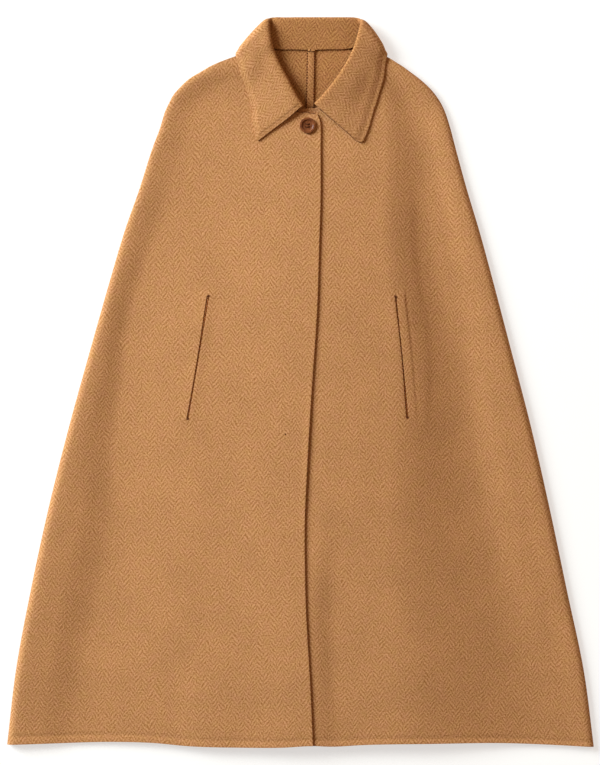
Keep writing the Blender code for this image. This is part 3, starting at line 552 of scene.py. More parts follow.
# %% [markdown]
# ## From a plan to a panel
# Each panel is its outer face first: a grid primitive with its vertices moved into place. Along the
# side it turns through a quarter circle to meet the other panel upright. The Solidify modifier then
# gives it the cloth's thickness on the inside, and a small Bevel rounds its raw edges, as thick
# wool has no sharp edge. Its UV map is the flat cloth in metres: the weave is drawn on that.

# %% Helpers that make pieces of cloth
RIM_ANGLE = 50.0
RIM_SEGMENTS = 3


def select_only(*pieces):
    """Select these pieces and nothing else."""
    bpy.ops.object.select_all(action="DESELECT")
    for piece in pieces:
        piece.select_set(True)
    bpy.context.view_layer.objects.active = pieces[-1]


def add_shape(add, name, **settings):
    """A new piece, made by one of Blender's operators for primitive shapes."""
    bpy.ops.object.select_all(action="DESELECT")
    add(**settings)
    piece = bpy.context.object
    piece.name = name
    piece.data.name = name
    return piece


def apply_modifier(piece, name, kind, **settings):
    """Add a modifier with these settings to a piece, and apply it."""
    select_only(piece)
    modifier = piece.modifiers.new(name, kind)
    for setting, value in settings.items():
        setattr(modifier, setting, value)
    bpy.ops.object.modifier_apply(modifier=modifier.name)


def round_rim(piece, radius, segments, angle):
    """Round the edges of a piece that turn by more than this angle, and shade it smooth."""
    apply_modifier(piece, "rim", "BEVEL", width=radius * MM, segments=segments,
                   limit_method="ANGLE", angle_limit=math.radians(angle))
    bpy.ops.object.shade_smooth()


def join_pieces(pieces, name):
    """These pieces as one."""
    select_only(*pieces)
    bpy.ops.object.join()
    bpy.context.object.name = name
    return bpy.context.object


def metres(*sizes):
    """Sizes in millimetres as metres."""
    return [size * MM for size in sizes]


def at_height(plan, height):
    """Points of a plan, raised to these heights."""
    return np.concatenate([plan, height[..., None]], axis=-1)


def level_normals(height, plan):
    """Unit normals, pointing up, of the surface that a height function gives over a plan."""
    across, along = plan[:, :, 0], plan[:, :, 1]
    rise_across = (height(across + 1.0, along) - height(across - 1.0, along)) / 2.0
    rise_along = (height(across, along + 1.0) - height(across, along - 1.0)) / 2.0
    return unit(np.stack([-rise_across, -rise_along, np.ones_like(rise_across)], axis=2))


def seam_outward(side, places):
    """Level direction away from the garment at these places on the shoulder and side seam."""
    line, outward = side_line(side)
    nearest = [np.argmin(np.linalg.norm(line - place, axis=1)) for place in places]
    return np.concatenate([outward[nearest], np.zeros((len(places), 1))], axis=1)


def turn_to_seam(outward, plan, level, seam, normals):
    """Round the cloth from its level to the seam; under the collar the turn eases off."""
    eased = clear_of_collar(plan[:, :1, 1])
    edge = level[:, :1] + (seam - level[:, :1]) * eased ** 2
    width = np.linalg.norm(plan[:, ROUND_STEPS] - plan[:, 0], axis=1)[:, None]
    reach = np.minimum(np.linalg.norm(plan - plan[:, :1], axis=2) / width, 1.0)
    angle = np.arccos(1.0 - reach)
    height = edge + (level - edge) * np.sin(angle)
    sideways = (np.abs(level - edge) * np.cos(angle))[:, :, None] * outward[:, None, :]
    upright = (width * np.maximum(np.sin(angle), 1.0 - eased))[:, :, None] * normals
    turned = np.where(reach[:, :, None] < 1.0, sideways + upright, normals)
    return at_height(plan, height), unit(turned)


def flat_spots(outward, points):
    """Where each point of a panel lay in the flat cloth: its plan, its turned edge laid out."""
    steps = np.linalg.norm(np.diff(points, axis=1), axis=2)
    plan_steps = np.linalg.norm(np.diff(points[:, :, :2], axis=1), axis=2)
    extra = (steps - plan_steps)[:, :ROUND_STEPS]
    hidden = np.zeros(points.shape[:2])
    hidden[:, :ROUND_STEPS] = np.cumsum(extra[:, ::-1], axis=1)[:, ::-1]
    return points[:, :, :2] + hidden[:, :, None] * outward[:, None, :2]


def add_grid(name, points, spots):
    """A grid primitive moved to these points; its UV map holds their places in the flat cloth."""
    rows, columns = points.shape[:2]
    piece = add_shape(bpy.ops.mesh.primitive_grid_add, name,
                      x_subdivisions=columns - 1, y_subdivisions=rows - 1, size=1.0)
    mesh = piece.data
    mesh.vertices.foreach_set("co", (points * MM).astype(np.float32).ravel())
    corners = np.empty(len(mesh.loops), np.int32)
    mesh.loops.foreach_get("vertex_index", corners)
    weave = mesh.uv_layers[0]
    weave.name = "weave"
    flat = spots.reshape(-1, 2)[corners] * MM
    weave.uv.foreach_set("vector", flat.astype(np.float32).ravel())
    mesh.update()
    return piece


def mark_reverse_and_painted_shade(piece, shares):
    """How much of each point shows the darker reverse colour, from 0 to 1: the cloth's reverse, and
    painted shade.
    """
    layer = piece.data.attributes.new("reverse", "FLOAT", "POINT")
    values = np.broadcast_to(shares, len(piece.data.vertices)).astype(np.float32)
    layer.data.foreach_set("value", np.ascontiguousarray(values))


def cut_cells(piece, columns, cells):
    """Delete the faces of these cells of a grid."""
    chosen = {row * (columns - 1) + column for row, column in cells}
    for face in piece.data.polygons:
        face.select = face.index in chosen
    for part in (*piece.data.edges, *piece.data.vertices):
        part.select = False
    select_only(piece)
    bpy.ops.object.mode_set(mode="EDIT")
    bpy.ops.mesh.select_mode(type="FACE")
    bpy.ops.mesh.delete(type="FACE")
    bpy.ops.object.mode_set(mode="OBJECT")


def face_towards(piece, direction):
    """Flip the grid if it faces away from this direction."""
    facing = sum((face.normal * face.area for face in piece.data.polygons), start=Vector())
    if facing.dot(direction) < 0.0:
        select_only(piece)
        bpy.ops.object.mode_set(mode="EDIT")
        bpy.ops.mesh.select_all(action="SELECT")
        bpy.ops.mesh.flip_normals()
        bpy.ops.object.mode_set(mode="OBJECT")


def thicken(piece, thickness, rim_radius, thinned=""):
    """Give a face its thickness on the inside, thinned by a vertex group, and round its rim."""
    apply_modifier(piece, "thickness", "SOLIDIFY", thickness=thickness * MM, offset=-1.0,
                   vertex_group=thinned)
    round_rim(piece, rim_radius, RIM_SEGMENTS, RIM_ANGLE)
    return piece


def add_panel(name, side, plan, middle, sign):
    """Outer face of a panel over its plan, turned to the seam; sign is 1 above it, -1 below."""
    seam = SEAM_LEVEL + sign * SEAM_GAP / 2 + neck_lift(plan[:, :1, 1])
    level = middle(plan[:, :, 0], plan[:, :, 1])
    normals = sign * level_normals(middle, plan)
    outward = seam_outward(side, plan[:, 0])
    points, normals = turn_to_seam(outward, plan, level, seam, normals)
    piece = add_grid(name, points + normals * CLOTH / 2, flat_spots(outward, points))
    face_towards(piece, sign * UPWARD)
    return piece


# %% The two fronts
FRONT_RIM = 1.1


def add_front(side):
    """Front panel with its slit cut, turned down to the seam along its side."""
    plan, slit_columns = front_plan(side)

    def middle(across, along):
        return front_top(side, across, along) - CLOTH / 2

    piece = add_panel("shell_front_" + side, side, plan, middle, 1.0)
    slit_rows = range(ROWS_TO_SLIT, ROWS_TO_SLIT + ROWS_IN_SLIT)
    cells = {(row, column) for row in slit_rows for column in slit_columns}
    cut_cells(piece, plan.shape[1], cells)
    return thicken(piece, CLOTH, FRONT_RIM)


fronts = {side: add_front(side) for side in ("left", "right")}
for piece in fronts.values():
    print(piece.name, len(piece.data.polygons), "faces")


# %% [markdown]
# ## The backs
# The backs lie on the floor, so their underside is flat. They turn up along the sides to meet the
# fronts, and the collar's folded fall lifts them at the neck, where their inside shows.

# %% The two backs and the strap over their seam
BACK_COLUMNS = 26
BACK_RIM = 1.0
STRAP_WIDTH = 11.0
STRAP_CLOTH = 1.2
STRAP_GAP = 0.4
STRAP_SHORT_AT_NECK = 2.9
STRAP_SHORT_AT_HEM = 14.0
STRAP_COLUMNS = 12
STRAP_CROWN = 0.5
STRAP_RIM = 0.5
# The strap's share of the darker reverse colour: partly the cloth's reverse, partly painted shade
# of the neck opening.
STRAP_REVERSE_AND_PAINTED_SHADE = 0.7


def centre_back(along):
    """Place of the centre-back seam across, for each height."""
    part = (NECKLINE_BACK_ALONG - along) / (NECKLINE_BACK_ALONG - HEM[0].along)
    return CENTRE_BACK_TOP + (CENTRE_BACK_HEM - CENTRE_BACK_TOP) * part


def back_plan(side):
    """Plan of a back panel, from the shoulder and side seam to the centre-back seam."""
    edge = rows_down(side, side_line(side)[0])
    alongs = np.array([NECKLINE_BACK_ALONG + NECK_TUCK, HEM[0].along - NECK_TUCK])
    across = centre_back(alongs) + SIGN[side] * SEAM_GAP / 2
    seam = rows_down(side, np.stack([across, alongs], axis=1))
    room = np.linalg.norm(seam - edge, axis=1)[:, None]
    turn = turned_columns(edge, (seam - edge) / room, np.minimum(BACK_ROUND, room * ROUND_SHARE))
    rest = spread(turn[:, -1], seam, steps_on(BACK_COLUMNS))
    return fit_to_hem(np.concatenate([turn, rest], axis=1), BACK_HEM_INSET)


def back_middle(across, along):
    """Middle of the back's cloth: on the floor all the way across, lifted at the neck."""
    return CLOTH / 2 + neck_lift(along) + np.zeros_like(across)


def add_back(side):
    """Back panel: flat on the floor, lifted by the collar at the neck, turned up to the seam."""
    piece = add_panel("shell_back_" + side, side, back_plan(side), back_middle, -1.0)
    # Its inside shows through the neck opening in the darker reverse colour: partly the cloth's
    # reverse, partly painted shade of the opening.
    mark_reverse_and_painted_shade(piece, 1.0)
    return thicken(piece, CLOTH, BACK_RIM)


def strap_level(across, along):
    """Where the strap's cloth ends at its edges; between them it is crowned."""
    return back_middle(across, along) + CLOTH / 2 + STRAP_GAP + STRAP_CLOTH


def add_strap():
    """Strap of self cloth over the centre-back seam, on the inside of the back."""
    alongs = back_plan("right")[:, -1, 1]
    alongs[0] = NECKLINE_BACK_ALONG - STRAP_SHORT_AT_NECK
    alongs[-1] = HEM[0].along + STRAP_SHORT_AT_HEM
    parts = np.linspace(-0.5, 0.5, STRAP_COLUMNS + 1)
    middle = np.stack([centre_back(alongs), alongs], axis=1)
    plan = middle[:, None, :] + np.stack([parts * STRAP_WIDTH, 0.0 * parts], axis=1)
    height = strap_level(plan[:, :, 0], plan[:, :, 1]) + STRAP_CROWN * np.cos(parts * math.pi)
    piece = add_grid("shell_centre_back_strap", at_height(plan, height), plan)
    # Partly painted shade of the neck opening, in the darker reverse colour.
    mark_reverse_and_painted_shade(piece, STRAP_REVERSE_AND_PAINTED_SHADE)
    face_towards(piece, UPWARD)
    return thicken(piece, STRAP_CLOTH + STRAP_CROWN, STRAP_RIM)


backs = {side: add_back(side) for side in ("left", "right")}
strap = add_strap()
print("backs and strap made")

# %% [markdown]
# ## The welts of the arm slits
# A welt is a folded strip sewn into the slit's outer side. Its fold reaches under the inner lip, so
# that the slit stays shut, and all that shows of it is a dark line of cloth between the lips. Thick
# cloth doesn't close evenly, so each slit gapes by a short table of widths down its length.

# %% The two welts
WELT_REACH = 3.0
WELT_CLOTH = 2.0
WELT_BELOW = 0.3
WELT_CROWN = 1.9
CROWN_PAST_LIPS = 0.1
WELT_RIM = 0.9
WELT_ROWS = 90
WELT_STEP = 0.2
HIDDEN_COLUMNS = 3
SHOWN_COLUMNS = 7
OUTSIDE_COLUMNS = 10


def add_welt(side):
    """Folded strip in the outer side of the slit, under its lips, crowned where it shows."""
    lip = level_points(slit_line(side), row_levels(side)[:ROWS_IN_SLIT + 1])
    lip = points_along(lip, np.linspace(0.0, 1.0, WELT_ROWS + 1))
    width = slit_width(side, lip[:, 1:])
    hidden = np.linspace(-WELT_REACH, -WELT_STEP, HIDDEN_COLUMNS) + 0.0 * width
    shown = np.linspace(0.0, 1.0, SHOWN_COLUMNS) * width
    outside = width + np.linspace(WELT_STEP, WELT_WIDTH, OUTSIDE_COLUMNS)
    offsets = np.concatenate([hidden, shown, outside], axis=1)
    plan = lip[:, None, :] + np.stack([SIGN[side] * offsets, 0.0 * offsets], axis=2)
    crown = WELT_CROWN * soft_bump((offsets - width / 2) / (width / 2 + CROWN_PAST_LIPS))
    top = front_top(side, plan[:, :, 0], plan[:, :, 1]) - CLOTH - WELT_BELOW + crown
    piece = add_grid("shell_welt_" + side, at_height(plan, top), plan)
    face_towards(piece, UPWARD)
    return thicken(piece, WELT_CLOTH, WELT_RIM)


welts = {side: add_welt(side) for side in ("left", "right")}
print("welts made")

# %% [markdown]
# ## The collar
# A shirt collar is one strip: a stand that is sewn to the neckline, and a fall that turns over it
# at the roll line. Worn, it is a cone round the neck. Laid flat, its wings spread on the fronts.
# At the back its fall is folded under the cape, so it passes the shoulders through half a turn. It
# is drawn as sections across it, first as if it lay on the fronts all round. Then its part at the
# back is bent down about a line past each shoulder.

# %% Sections of the collar
COLLAR = table(
    "on seam roll crown turn edge",
    ("front", (-2.5, 393, 0), (4.4, 400, 2.9), (-18, 382, 3), (-40, 365.5, 0.8), (-63, 348, 0.2)),
    ("front", (-10, 400, 0), (-6.5, 417.5, 3.9), (-27, 402, 3.8), (-48, 387, 1.6),
     (-68.8, 372.5, 0.2)),
    ("front", (-27, 414, 0), (-16.5, 437, 4.2), (-34, 423.5, 4.4), (-52, 409.5, 2),
     (-70.3, 396, 0.2)),
    ("front", (-44, 434.5, 0), (-29.5, 461, 4), (-45, 447.5, 4.6), (-61, 434, 2.2),
     (-77.5, 420.5, 0.2)),
    ("front", (-54.5, 452, 0), (-37, 478.5, 4), (-53.5, 468.5, 5), (-70.5, 458, 4.4),
     (-87.5, 448, 0.5)),
    ("front", (-62, 468, 0.2), (-41.5, 494.5, 6.4), (-58.5, 486, 7.2), (-76, 478, 5.6),
     (-93.5, 470, 1.4)),
    ("back", (-38, 483.2, 7.7), (-30, 528.8, 6.6), (-32, 508, 1.8), (-35, 486, 1.8),
     (-38, 464.5, 1.8)),
    ("back", (-9.5, 481.8, 8), (-6, 528.8, 6.9), (-7.5, 508, 1.8), (-9, 486, 1.8),
     (-10.5, 464, 1.8)),
    ("back", (15, 481.2, 8), (19.5, 528.8, 6.9), (19, 508, 1.8), (18.5, 486, 1.8), (18, 464, 1.8)),
    ("back", (41.5, 482, 8), (45, 528.8, 6.9), (46, 508, 1.8), (47, 486, 1.8), (48, 464, 1.8)),
    ("back", (71, 483.4, 7.5), (71, 528.8, 6.6), (73, 508, 1.8), (75.5, 486, 1.8),
     (78, 464.5, 1.8)),
    ("front", (93, 468, 0.2), (79.5, 492, 7.6), (96, 484, 8.7), (112, 476.5, 5.6),
     (125, 469.5, 1.4)),
    ("front", (84, 451.5, 0), (70.5, 470.5, 6.4), (88, 460, 7.4), (104, 450, 3.8),
     (120.2, 441, 0.5)),
    ("front", (72, 433, 0), (58.5, 450, 6.2), (77.5, 437.5, 7.4), (95, 425.5, 3),
     (112.4, 413.5, 0.2)),
    ("front", (57, 415.5, 0), (44, 430, 5.6), (65.5, 416.5, 6.7), (85.5, 403, 2.6),
     (104.9, 390, 0.2)),
    ("front", (40, 402.5, 0), (30, 413.5, 4.6), (53.5, 397.5, 5.4), (76, 381.5, 2.2),
     (98, 366, 0.2)),
    ("front", (26, 397.5, 0), (19.6, 403.3, 3), (42, 383.5, 4.4), (65, 364, 2.4),
     (88.2, 343, 0.8)))
CENTRE_SECTION = 8
COLLAR_STEPS = 10
WRAP_STEPS = 60
END_STEPS = 28
STRETCH_STEPS = (9, 9, 3, 3, 3, 3, 14, 14, 14)
FALL_COLUMN = 30
ROLL_RADIUS = 2.3
ROLL_REACH = 3.4
ROLL_ANGLES = np.radians([90.0, 45.0, 0.0, -45.0, -90.0])
Wrap = namedtuple("Wrap", "roll_end shoulder_end roll_level shoulder_level")
WRAPS = {
    "right": Wrap((-44.5, 518.4), (-89.0, 472.8), 10.0, 9.2),
    "left": Wrap((84.3, 519.0), (117.6, 476.4), 10.6, 9.2),
}
WRAP_RADIUS = 5.8
HALF_TURN = math.pi * WRAP_RADIUS
SETTLED = (0.3 * HALF_TURN, 0.9 * HALF_TURN)
print("sections:", len(COLLAR))

# %% [markdown]
# The edges of a collar are stitched a few millimetres in, to keep the two layers from rolling. The
# thread sinks into the wool, so it shows as a shallow groove with a soft welt of cloth outside it.
# An iron has pressed the edges thinner than the rest and rounded the tips. The front end of the
# left wing turns down onto its front, where a thin line in the cloth's darker reverse colour is
# painted shadow. The stand and the roll are drawn in that darker colour too, as painted shade.

# %% Shaping the collar
STITCH_INSET = 5.2
STITCH_DEPTH = 0.22
STITCH_REACH = 2.2
Press = namedtuple("Press", "depth flat reach")
EDGE_PRESS = {"right": Press(1.1, 0.0, 10.0), "left": Press(1.1, 4.0, 12.0)}
FRONT_PRESS = {"right": Press(1.1, 0.0, 10.0), "left": Press(0.0, 0.0, 10.0)}
FRONT_TURN_DEPTH = {"right": 0.0, "left": 2.5}
FRONT_TURN_REACH = 1.9
# Painted shadow: how far into the left wing's turned front end the darker reverse colour reaches
# full strength.
PAINTED_SHADOW_PART_OF_TURN = 0.5
TIP_RADIUS = {"right": 3.5, "left": 7.0}
# Painted shade: over these columns, from the stand across the roll, the darker reverse colour fades
# out.
PAINTED_SHADE_COLUMNS = (24.0, 42.0)
TOP_CORNERS = table(
    "place one_way other_way",
    ((-47.2, 530.2), (1, 0), (-0.70, -0.714)), ((90, 530.2), (-1, 0), (0.545, -0.838)))
TOP_CORNER_RADIUS = 22.0
COLLAR_RIM = 1.1


def wrap_place(wrap, points):
    """The way out from the bending line, how far out each point is, and the line's level there."""
    start = np.array(wrap.roll_end)
    run = np.array(wrap.shoulder_end) - start
    length = np.linalg.norm(run)
    onward = run / length
    outward = np.array([onward[1], -onward[0]])
    if outward[1] < 0.0:
        outward = -outward
    offset = points[..., :2] - start
    level = np.interp(offset @ onward, [0.0, length], [wrap.roll_level, wrap.shoulder_level])
    return outward, offset @ outward, level


def unbend(wrap, points):
    """Points under the backs, as they lay before the collar was bent down past the shoulder."""
    outward, out, level = wrap_place(wrap, points)
    flat = points[..., :2] + (HALF_TURN - 2 * out)[..., None] * outward
    return at_height(flat, 2 * level - points[..., 2])


def bend(wrap, points):
    """Bend points down past the shoulder, through half a turn about its line."""
    outward, out, level = wrap_place(wrap, points)
    reach = points[..., 2] - level
    angle = np.clip(out / WRAP_RADIUS, 0.0, math.pi)
    beyond = np.maximum(out - HALF_TURN, 0.0)
    new_out = np.minimum(out, 0.0) + reach * np.sin(angle) - beyond
    flat = points[..., :2] + (new_out - out)[..., None] * outward
    return at_height(flat, level + reach * np.cos(angle))


def section_points(section, side):
    """The control points of a section, with heights above the floor, as before bending."""
    points = np.array(section[1:], float)
    if section.on == "back":
        return unbend(WRAPS[side], points)
    points[:, 2] += laid_level(side, points[:, 0], points[:, 1]) + SEAM_GAP + COLLAR_CLOTH / 2
    return points


def section_curve(row, along_roll):
    """One section as a row of points, stand below fall, with a round turn at the roll line."""
    seam, roll, crown, turn, edge = row
    back = (unit(seam - roll) + unit(crown - roll)) * (1.0 - UPWARD)
    back = unit(back - along_roll * back.dot(along_roll))
    middle = roll + back * (COLLAR_CLOTH / 2 + ROLL_REACH)
    turned = [middle - UPWARD * math.sin(angle) * ROLL_RADIUS - back * math.cos(angle) * ROLL_REACH
              for angle in ROLL_ANGLES]
    points = [seam, (seam + turned[0]) / 2, *turned, crown, turn, edge]
    return curve_through(points, STRETCH_STEPS)


def settle(wrap, fall):
    """Let the fall lie flat on the floor once it is past the shoulder."""
    out, level = wrap_place(wrap, fall)[1:]
    fall[:, :, 2] += (2 * level - COLLAR_CLOTH / 2 - fall[:, :, 2]) * ramp(out, *SETTLED)


def round_top(points):
    """Draw the two top corners in, so that the outline turns them on an arc."""
    for corner in TOP_CORNERS:
        halfway = unit(np.add(corner.one_way, corner.other_way))
        half_angle = math.acos(np.dot(corner.one_way, halfway))
        centre = corner.place + halfway * TOP_CORNER_RADIUS / math.sin(half_angle)
        offset = points[..., :2] - centre
        distance = np.maximum(np.linalg.norm(offset, axis=-1), TINY)
        turned = np.arccos(np.clip(offset @ -halfway / distance, -1.0, 1.0))
        arc = math.pi / 2 - half_angle
        to_edge = TOP_CORNER_RADIUS / np.cos(arc - np.minimum(turned, arc))
        drawn = (1.0 - TOP_CORNER_RADIUS / to_edge) * np.minimum(distance / to_edge, 1.0) ** 3
        points[..., :2] = centre + offset * (1.0 - drawn)[..., None]
    return points


def round_tip(side, points, from_edge, from_end):
    """Draw the corner of a wing in, towards a rounded point."""
    radius = TIP_RADIUS[side]
    over_edge = np.maximum(radius - from_edge, 0.0)
    over_end = np.maximum(radius - from_end, 0.0)
    off_edge = over_edge * (1.0 - np.sqrt(1.0 - over_end**2 / (2 * radius**2)))
    off_end = over_end * (1.0 - np.sqrt(1.0 - over_edge**2 / (2 * radius**2)))
    inward = unit(-np.gradient(points, axis=1))
    onward = unit(-SIGN[side] * np.gradient(points, axis=0))
    return points + inward * off_edge[:, :, None] + onward * off_end[:, :, None]


def pressed_depth(press, distance):
    """How far an edge is pressed down at these distances from it."""
    return press.depth * (1.0 - smooth_step((distance - press.flat) / press.reach))


def grid_normals(points):
    """Unit normals of a grid of points."""
    return unit(np.cross(np.gradient(points, axis=0), np.gradient(points, axis=1)))


def half_collar(side, sections):
    """One half of the collar: its outer face, its flat places, its thickness, and its painted shade
    and shadow in the darker reverse colour.
    """
    controls = np.array([section_points(section, side) for section in sections])
    steps = [COLLAR_STEPS if first.on == second.on else WRAP_STEPS
             for first, second in zip(sections, sections[1:])]
    steps[0 if side == "right" else -1] = END_STEPS
    rows = np.stack([curve_through(line, steps) for line in controls.swapaxes(0, 1)], axis=1)
    along_roll = unit(np.gradient(rows[:, 1], axis=0) * (1.0 - UPWARD))
    points = np.array([section_curve(row, run) for row, run in zip(rows, along_roll)])
    fall = points[:, FALL_COLUMN:]
    settle(WRAPS[side], fall)
    across = np.array([length_along(row) for row in points])
    onward = length_along((fall[:, 0] + fall[:, -1]) / 2)
    from_edge = across[:, -1:] - across
    from_end = (onward if side == "right" else onward[-1] - onward)[:, None] + 0.0 * across
    fall[:] = round_tip(side, fall, from_edge[:, FALL_COLUMN:], from_end[:, FALL_COLUMN:])
    on_fall = np.arange(across.shape[1]) >= FALL_COLUMN
    to_stitches = np.minimum(from_edge, from_end) - STITCH_INSET
    groove = on_fall * STITCH_DEPTH * soft_bump(to_stitches / STITCH_REACH)
    pressed = on_fall * np.maximum(pressed_depth(EDGE_PRESS[side], from_edge),
                                   pressed_depth(FRONT_PRESS[side], from_end))
    face = points + grid_normals(points) * (COLLAR_CLOTH / 2 - groove - pressed)[:, :, None]
    turned = on_fall * np.clip(1.0 - from_end / FRONT_TURN_REACH, 0.0, 1.0)
    face[:, :, 2] -= FRONT_TURN_DEPTH[side] * (1.0 - np.sqrt(1.0 - turned ** 2))
    across = across - across[:, FALL_COLUMN:FALL_COLUMN + 1]
    spots = np.stack([onward[:, None] + 0.0 * across, across], axis=2)
    # Painted shade on the stand and roll, and painted shadow on the left wing's turned front end,
    # in the darker reverse colour.
    reverse = 1.0 - ramp(np.arange(across.shape[1]), *PAINTED_SHADE_COLUMNS) + 0.0 * across
    if FRONT_TURN_DEPTH[side]:
        reverse = np.maximum(reverse, np.minimum(turned / PAINTED_SHADOW_PART_OF_TURN, 1.0))
    thickness = 1.0 - (groove + pressed) / COLLAR_CLOTH
    return round_top(bend(WRAPS[side], face)), spots, thickness, reverse


def add_collar():
    """Collar: stand, roll and fall in one, from one front end round the back to the other."""
    right = half_collar("right", COLLAR[:CENTRE_SECTION + 2])
    left = half_collar("left", COLLAR[CENTRE_SECTION - 1:])
    left[1][:, :, 0] += right[1][-1 - COLLAR_STEPS, 0, 0] - left[1][COLLAR_STEPS, 0, 0]
    face, spots, thickness, reverse = (
        np.concatenate([one[:-COLLAR_STEPS], other[COLLAR_STEPS + 1:]])
        for one, other in zip(right, left))
    piece = add_grid("shell_collar", face, spots)
    group = piece.vertex_groups.new(name="thickness")
    for index, share in enumerate(thickness.ravel()):
        group.add([index], share, "REPLACE")
    # Painted shade and shadow, in the darker reverse colour.
    mark_reverse_and_painted_shade(piece, reverse.ravel())
    face_towards(piece, UPWARD)
    thicken(piece, COLLAR_CLOTH, COLLAR_RIM, group.name)
    piece.vertex_groups.clear()
    return piece


collar = add_collar()
print(collar.name, len(collar.data.polygons), "faces")

# %% [markdown]
# ## The button
# A coat button is turned from horn: a dished middle, a raised rim and four drilled holes. It starts
# as a cylinder whose top is inset and pushed in, the holes are cut with a Boolean, and then all its
# edges are bevelled. The thread that holds it passes through the holes as two bars.

# %% Button and its thread
BUTTON_PLACE = (10.3, 371.2)
BUTTON_RADIUS = 11.5
BUTTON_THICKNESS = 4.2
BUTTON_SHANK = -0.6
BUTTON_SIDES = 64
BUTTON_RIM = 0.9
BUTTON_RIM_SEGMENTS = 4
BUTTON_RIM_ANGLE = 40.0
DISH_DEPTH = 1.4
DISH_INSETS = table("width depth", (3.0, 0.0), (1.0, DISH_DEPTH), (2.5, 0.3))
HOLE_RADIUS = 1.15
HOLE_SIDES = 20
HOLE_OUT = 2.0
THREAD_RADIUS = 0.75
THREAD_SUNK = 0.1
THREAD_FLATTENED = 0.5


def add_button():
    """Turned button with a raised rim and four holes, and the level of its underside."""
    across, along = BUTTON_PLACE
    base = laid_level("right", across, along) + BUTTON_SHANK
    piece = add_shape(bpy.ops.mesh.primitive_cylinder_add, "shell_button", vertices=BUTTON_SIDES,
                      radius=BUTTON_RADIUS * MM, depth=BUTTON_THICKNESS * MM,
                      location=metres(across, along, base + BUTTON_THICKNESS / 2))
    bpy.ops.object.transform_apply()
    bpy.ops.object.mode_set(mode="EDIT")
    bpy.ops.mesh.select_mode(type="FACE")
    bpy.ops.mesh.select_all(action="DESELECT")
    bpy.ops.object.mode_set(mode="OBJECT")
    max(piece.data.polygons, key=lambda face: face.normal.z).select = True
    bpy.ops.object.mode_set(mode="EDIT")
    for inset in DISH_INSETS:
        bpy.ops.mesh.inset(thickness=inset.width * MM, depth=-inset.depth * MM)
    bpy.ops.object.mode_set(mode="OBJECT")
    for out_x, out_y in ((-1, -1), (-1, 1), (1, -1), (1, 1)):
        place = metres(across + out_x * HOLE_OUT, along + out_y * HOLE_OUT, base)
        drill = add_shape(bpy.ops.mesh.primitive_cylinder_add, "drill", vertices=HOLE_SIDES,
                          radius=HOLE_RADIUS * MM, depth=3 * BUTTON_THICKNESS * MM,
                          location=place)
        apply_modifier(piece, "hole", "BOOLEAN", object=drill, solver="EXACT")
        bpy.data.objects.remove(drill, do_unlink=True)
    round_rim(piece, BUTTON_RIM, BUTTON_RIM_SEGMENTS, BUTTON_RIM_ANGLE)
    return piece, base


def add_thread(base):
    """Two bars of thread through the holes of a button whose underside is at this level."""
    level = base + BUTTON_THICKNESS - DISH_DEPTH - THREAD_SUNK
    bars = []
    for side in (-1.0, 1.0):
        place = metres(BUTTON_PLACE[0], BUTTON_PLACE[1] + side * HOLE_OUT, level)
        bar = add_shape(bpy.ops.mesh.primitive_torus_add, "bar", location=place,
                        rotation=(math.pi / 2, 0.0, 0.0), major_radius=HOLE_OUT * MM,
                        minor_radius=THREAD_RADIUS * MM, major_segments=32, minor_segments=10)
        bar.scale = (1.0, THREAD_FLATTENED, 1.0)
        bpy.ops.object.transform_apply()
        bars.append(bar)
    piece = join_pieces(bars, "button_thread")
    bpy.ops.object.shade_smooth()
    return piece


button, button_base = add_button()
thread = add_thread(button_base)
print("button at", BUTTON_PLACE)

# %% [markdown]
# ## Hand stitches
# The strap is felled to the back along both its edges. Rows of dark stitches along the right
# front's neck edge and along the front end of the collar's left wing are painted shadow: they stand
# in for the thin shadow lines in those creases. Each slit ends in a bar tack: a few threads across
# it that keep it from tearing. A stitch sinks into thick wool and shows as a short ridge, so a
# stretched sphere is enough for it; all stitches of one seam are joined into one piece. The same
# shape, rounder, makes the one nep on the right front: a dark knot of fibres, woven in.

# %% Stitches on the strap and the slits, and rows of painted shadow stitches on the neck and the left wing
Stitch = namedtuple("Stitch", "spacing length radius sunk")
STRAP_STITCH = Stitch(3.9, 3.4, 0.85, 0.0)
NECK_SHADOW_STITCH = Stitch(2.4, 3.0, 0.6, 0.2)
WING_SHADOW_STITCH = Stitch(2.4, 2.9, 0.5, 0.1)
TACK = Stitch(1.0, 4.4, 0.55, 0.0)
NEP = Stitch(0.0, 2.8, 1.25, 0.7)
STRAP_STITCHED_FROM = NECKLINE_BACK_ALONG - STRAP_SHORT_AT_NECK - 3.0
STRAP_STITCHED_TO = 384.0
STRAP_STITCH_INSET = 0.3
STRAP_STITCH_WAY = (0.12, 1.0)
TACK_WAYS = ((1.0, -0.2), (1.0, 0.25), (1.0, -0.2))
NECK_SHADOW_FROM = -9.0
NECK_SHADOW_SHARE = 0.9
NECK_SHADOW_INSET = 0.5
NECK_SHADOW_WAY = (1.0, -0.15)
WING_SHADOW_SPAN = (0.13, 0.9)
WING_SHADOW_OUT = 0.5
NEP_PLACE = (-21.9, -75.4)
NEP_WAY = (1.0, 1.0)


def add_stitch(stitch, place, way):
    """One stitch: a stretched sphere sunk at a place, lying along a way."""
    piece = add_shape(bpy.ops.mesh.primitive_uv_sphere_add, "stitch", segments=10, ring_count=6,
                      radius=1.0)
    piece.scale = metres(stitch.length / 2, stitch.radius, stitch.radius)
    piece.rotation_euler = (0.0, 0.0, math.atan2(way[1], way[0]))
    piece.location = metres(place[0], place[1], place[2] - stitch.sunk)
    bpy.ops.object.transform_apply()
    bpy.ops.object.shade_smooth()
    return piece


def sew(name, stitch, places, ways):
    """Stitches at these places, each lying its way, as one piece."""
    return join_pieces([add_stitch(stitch, *spot) for spot in zip(places, ways)], name)


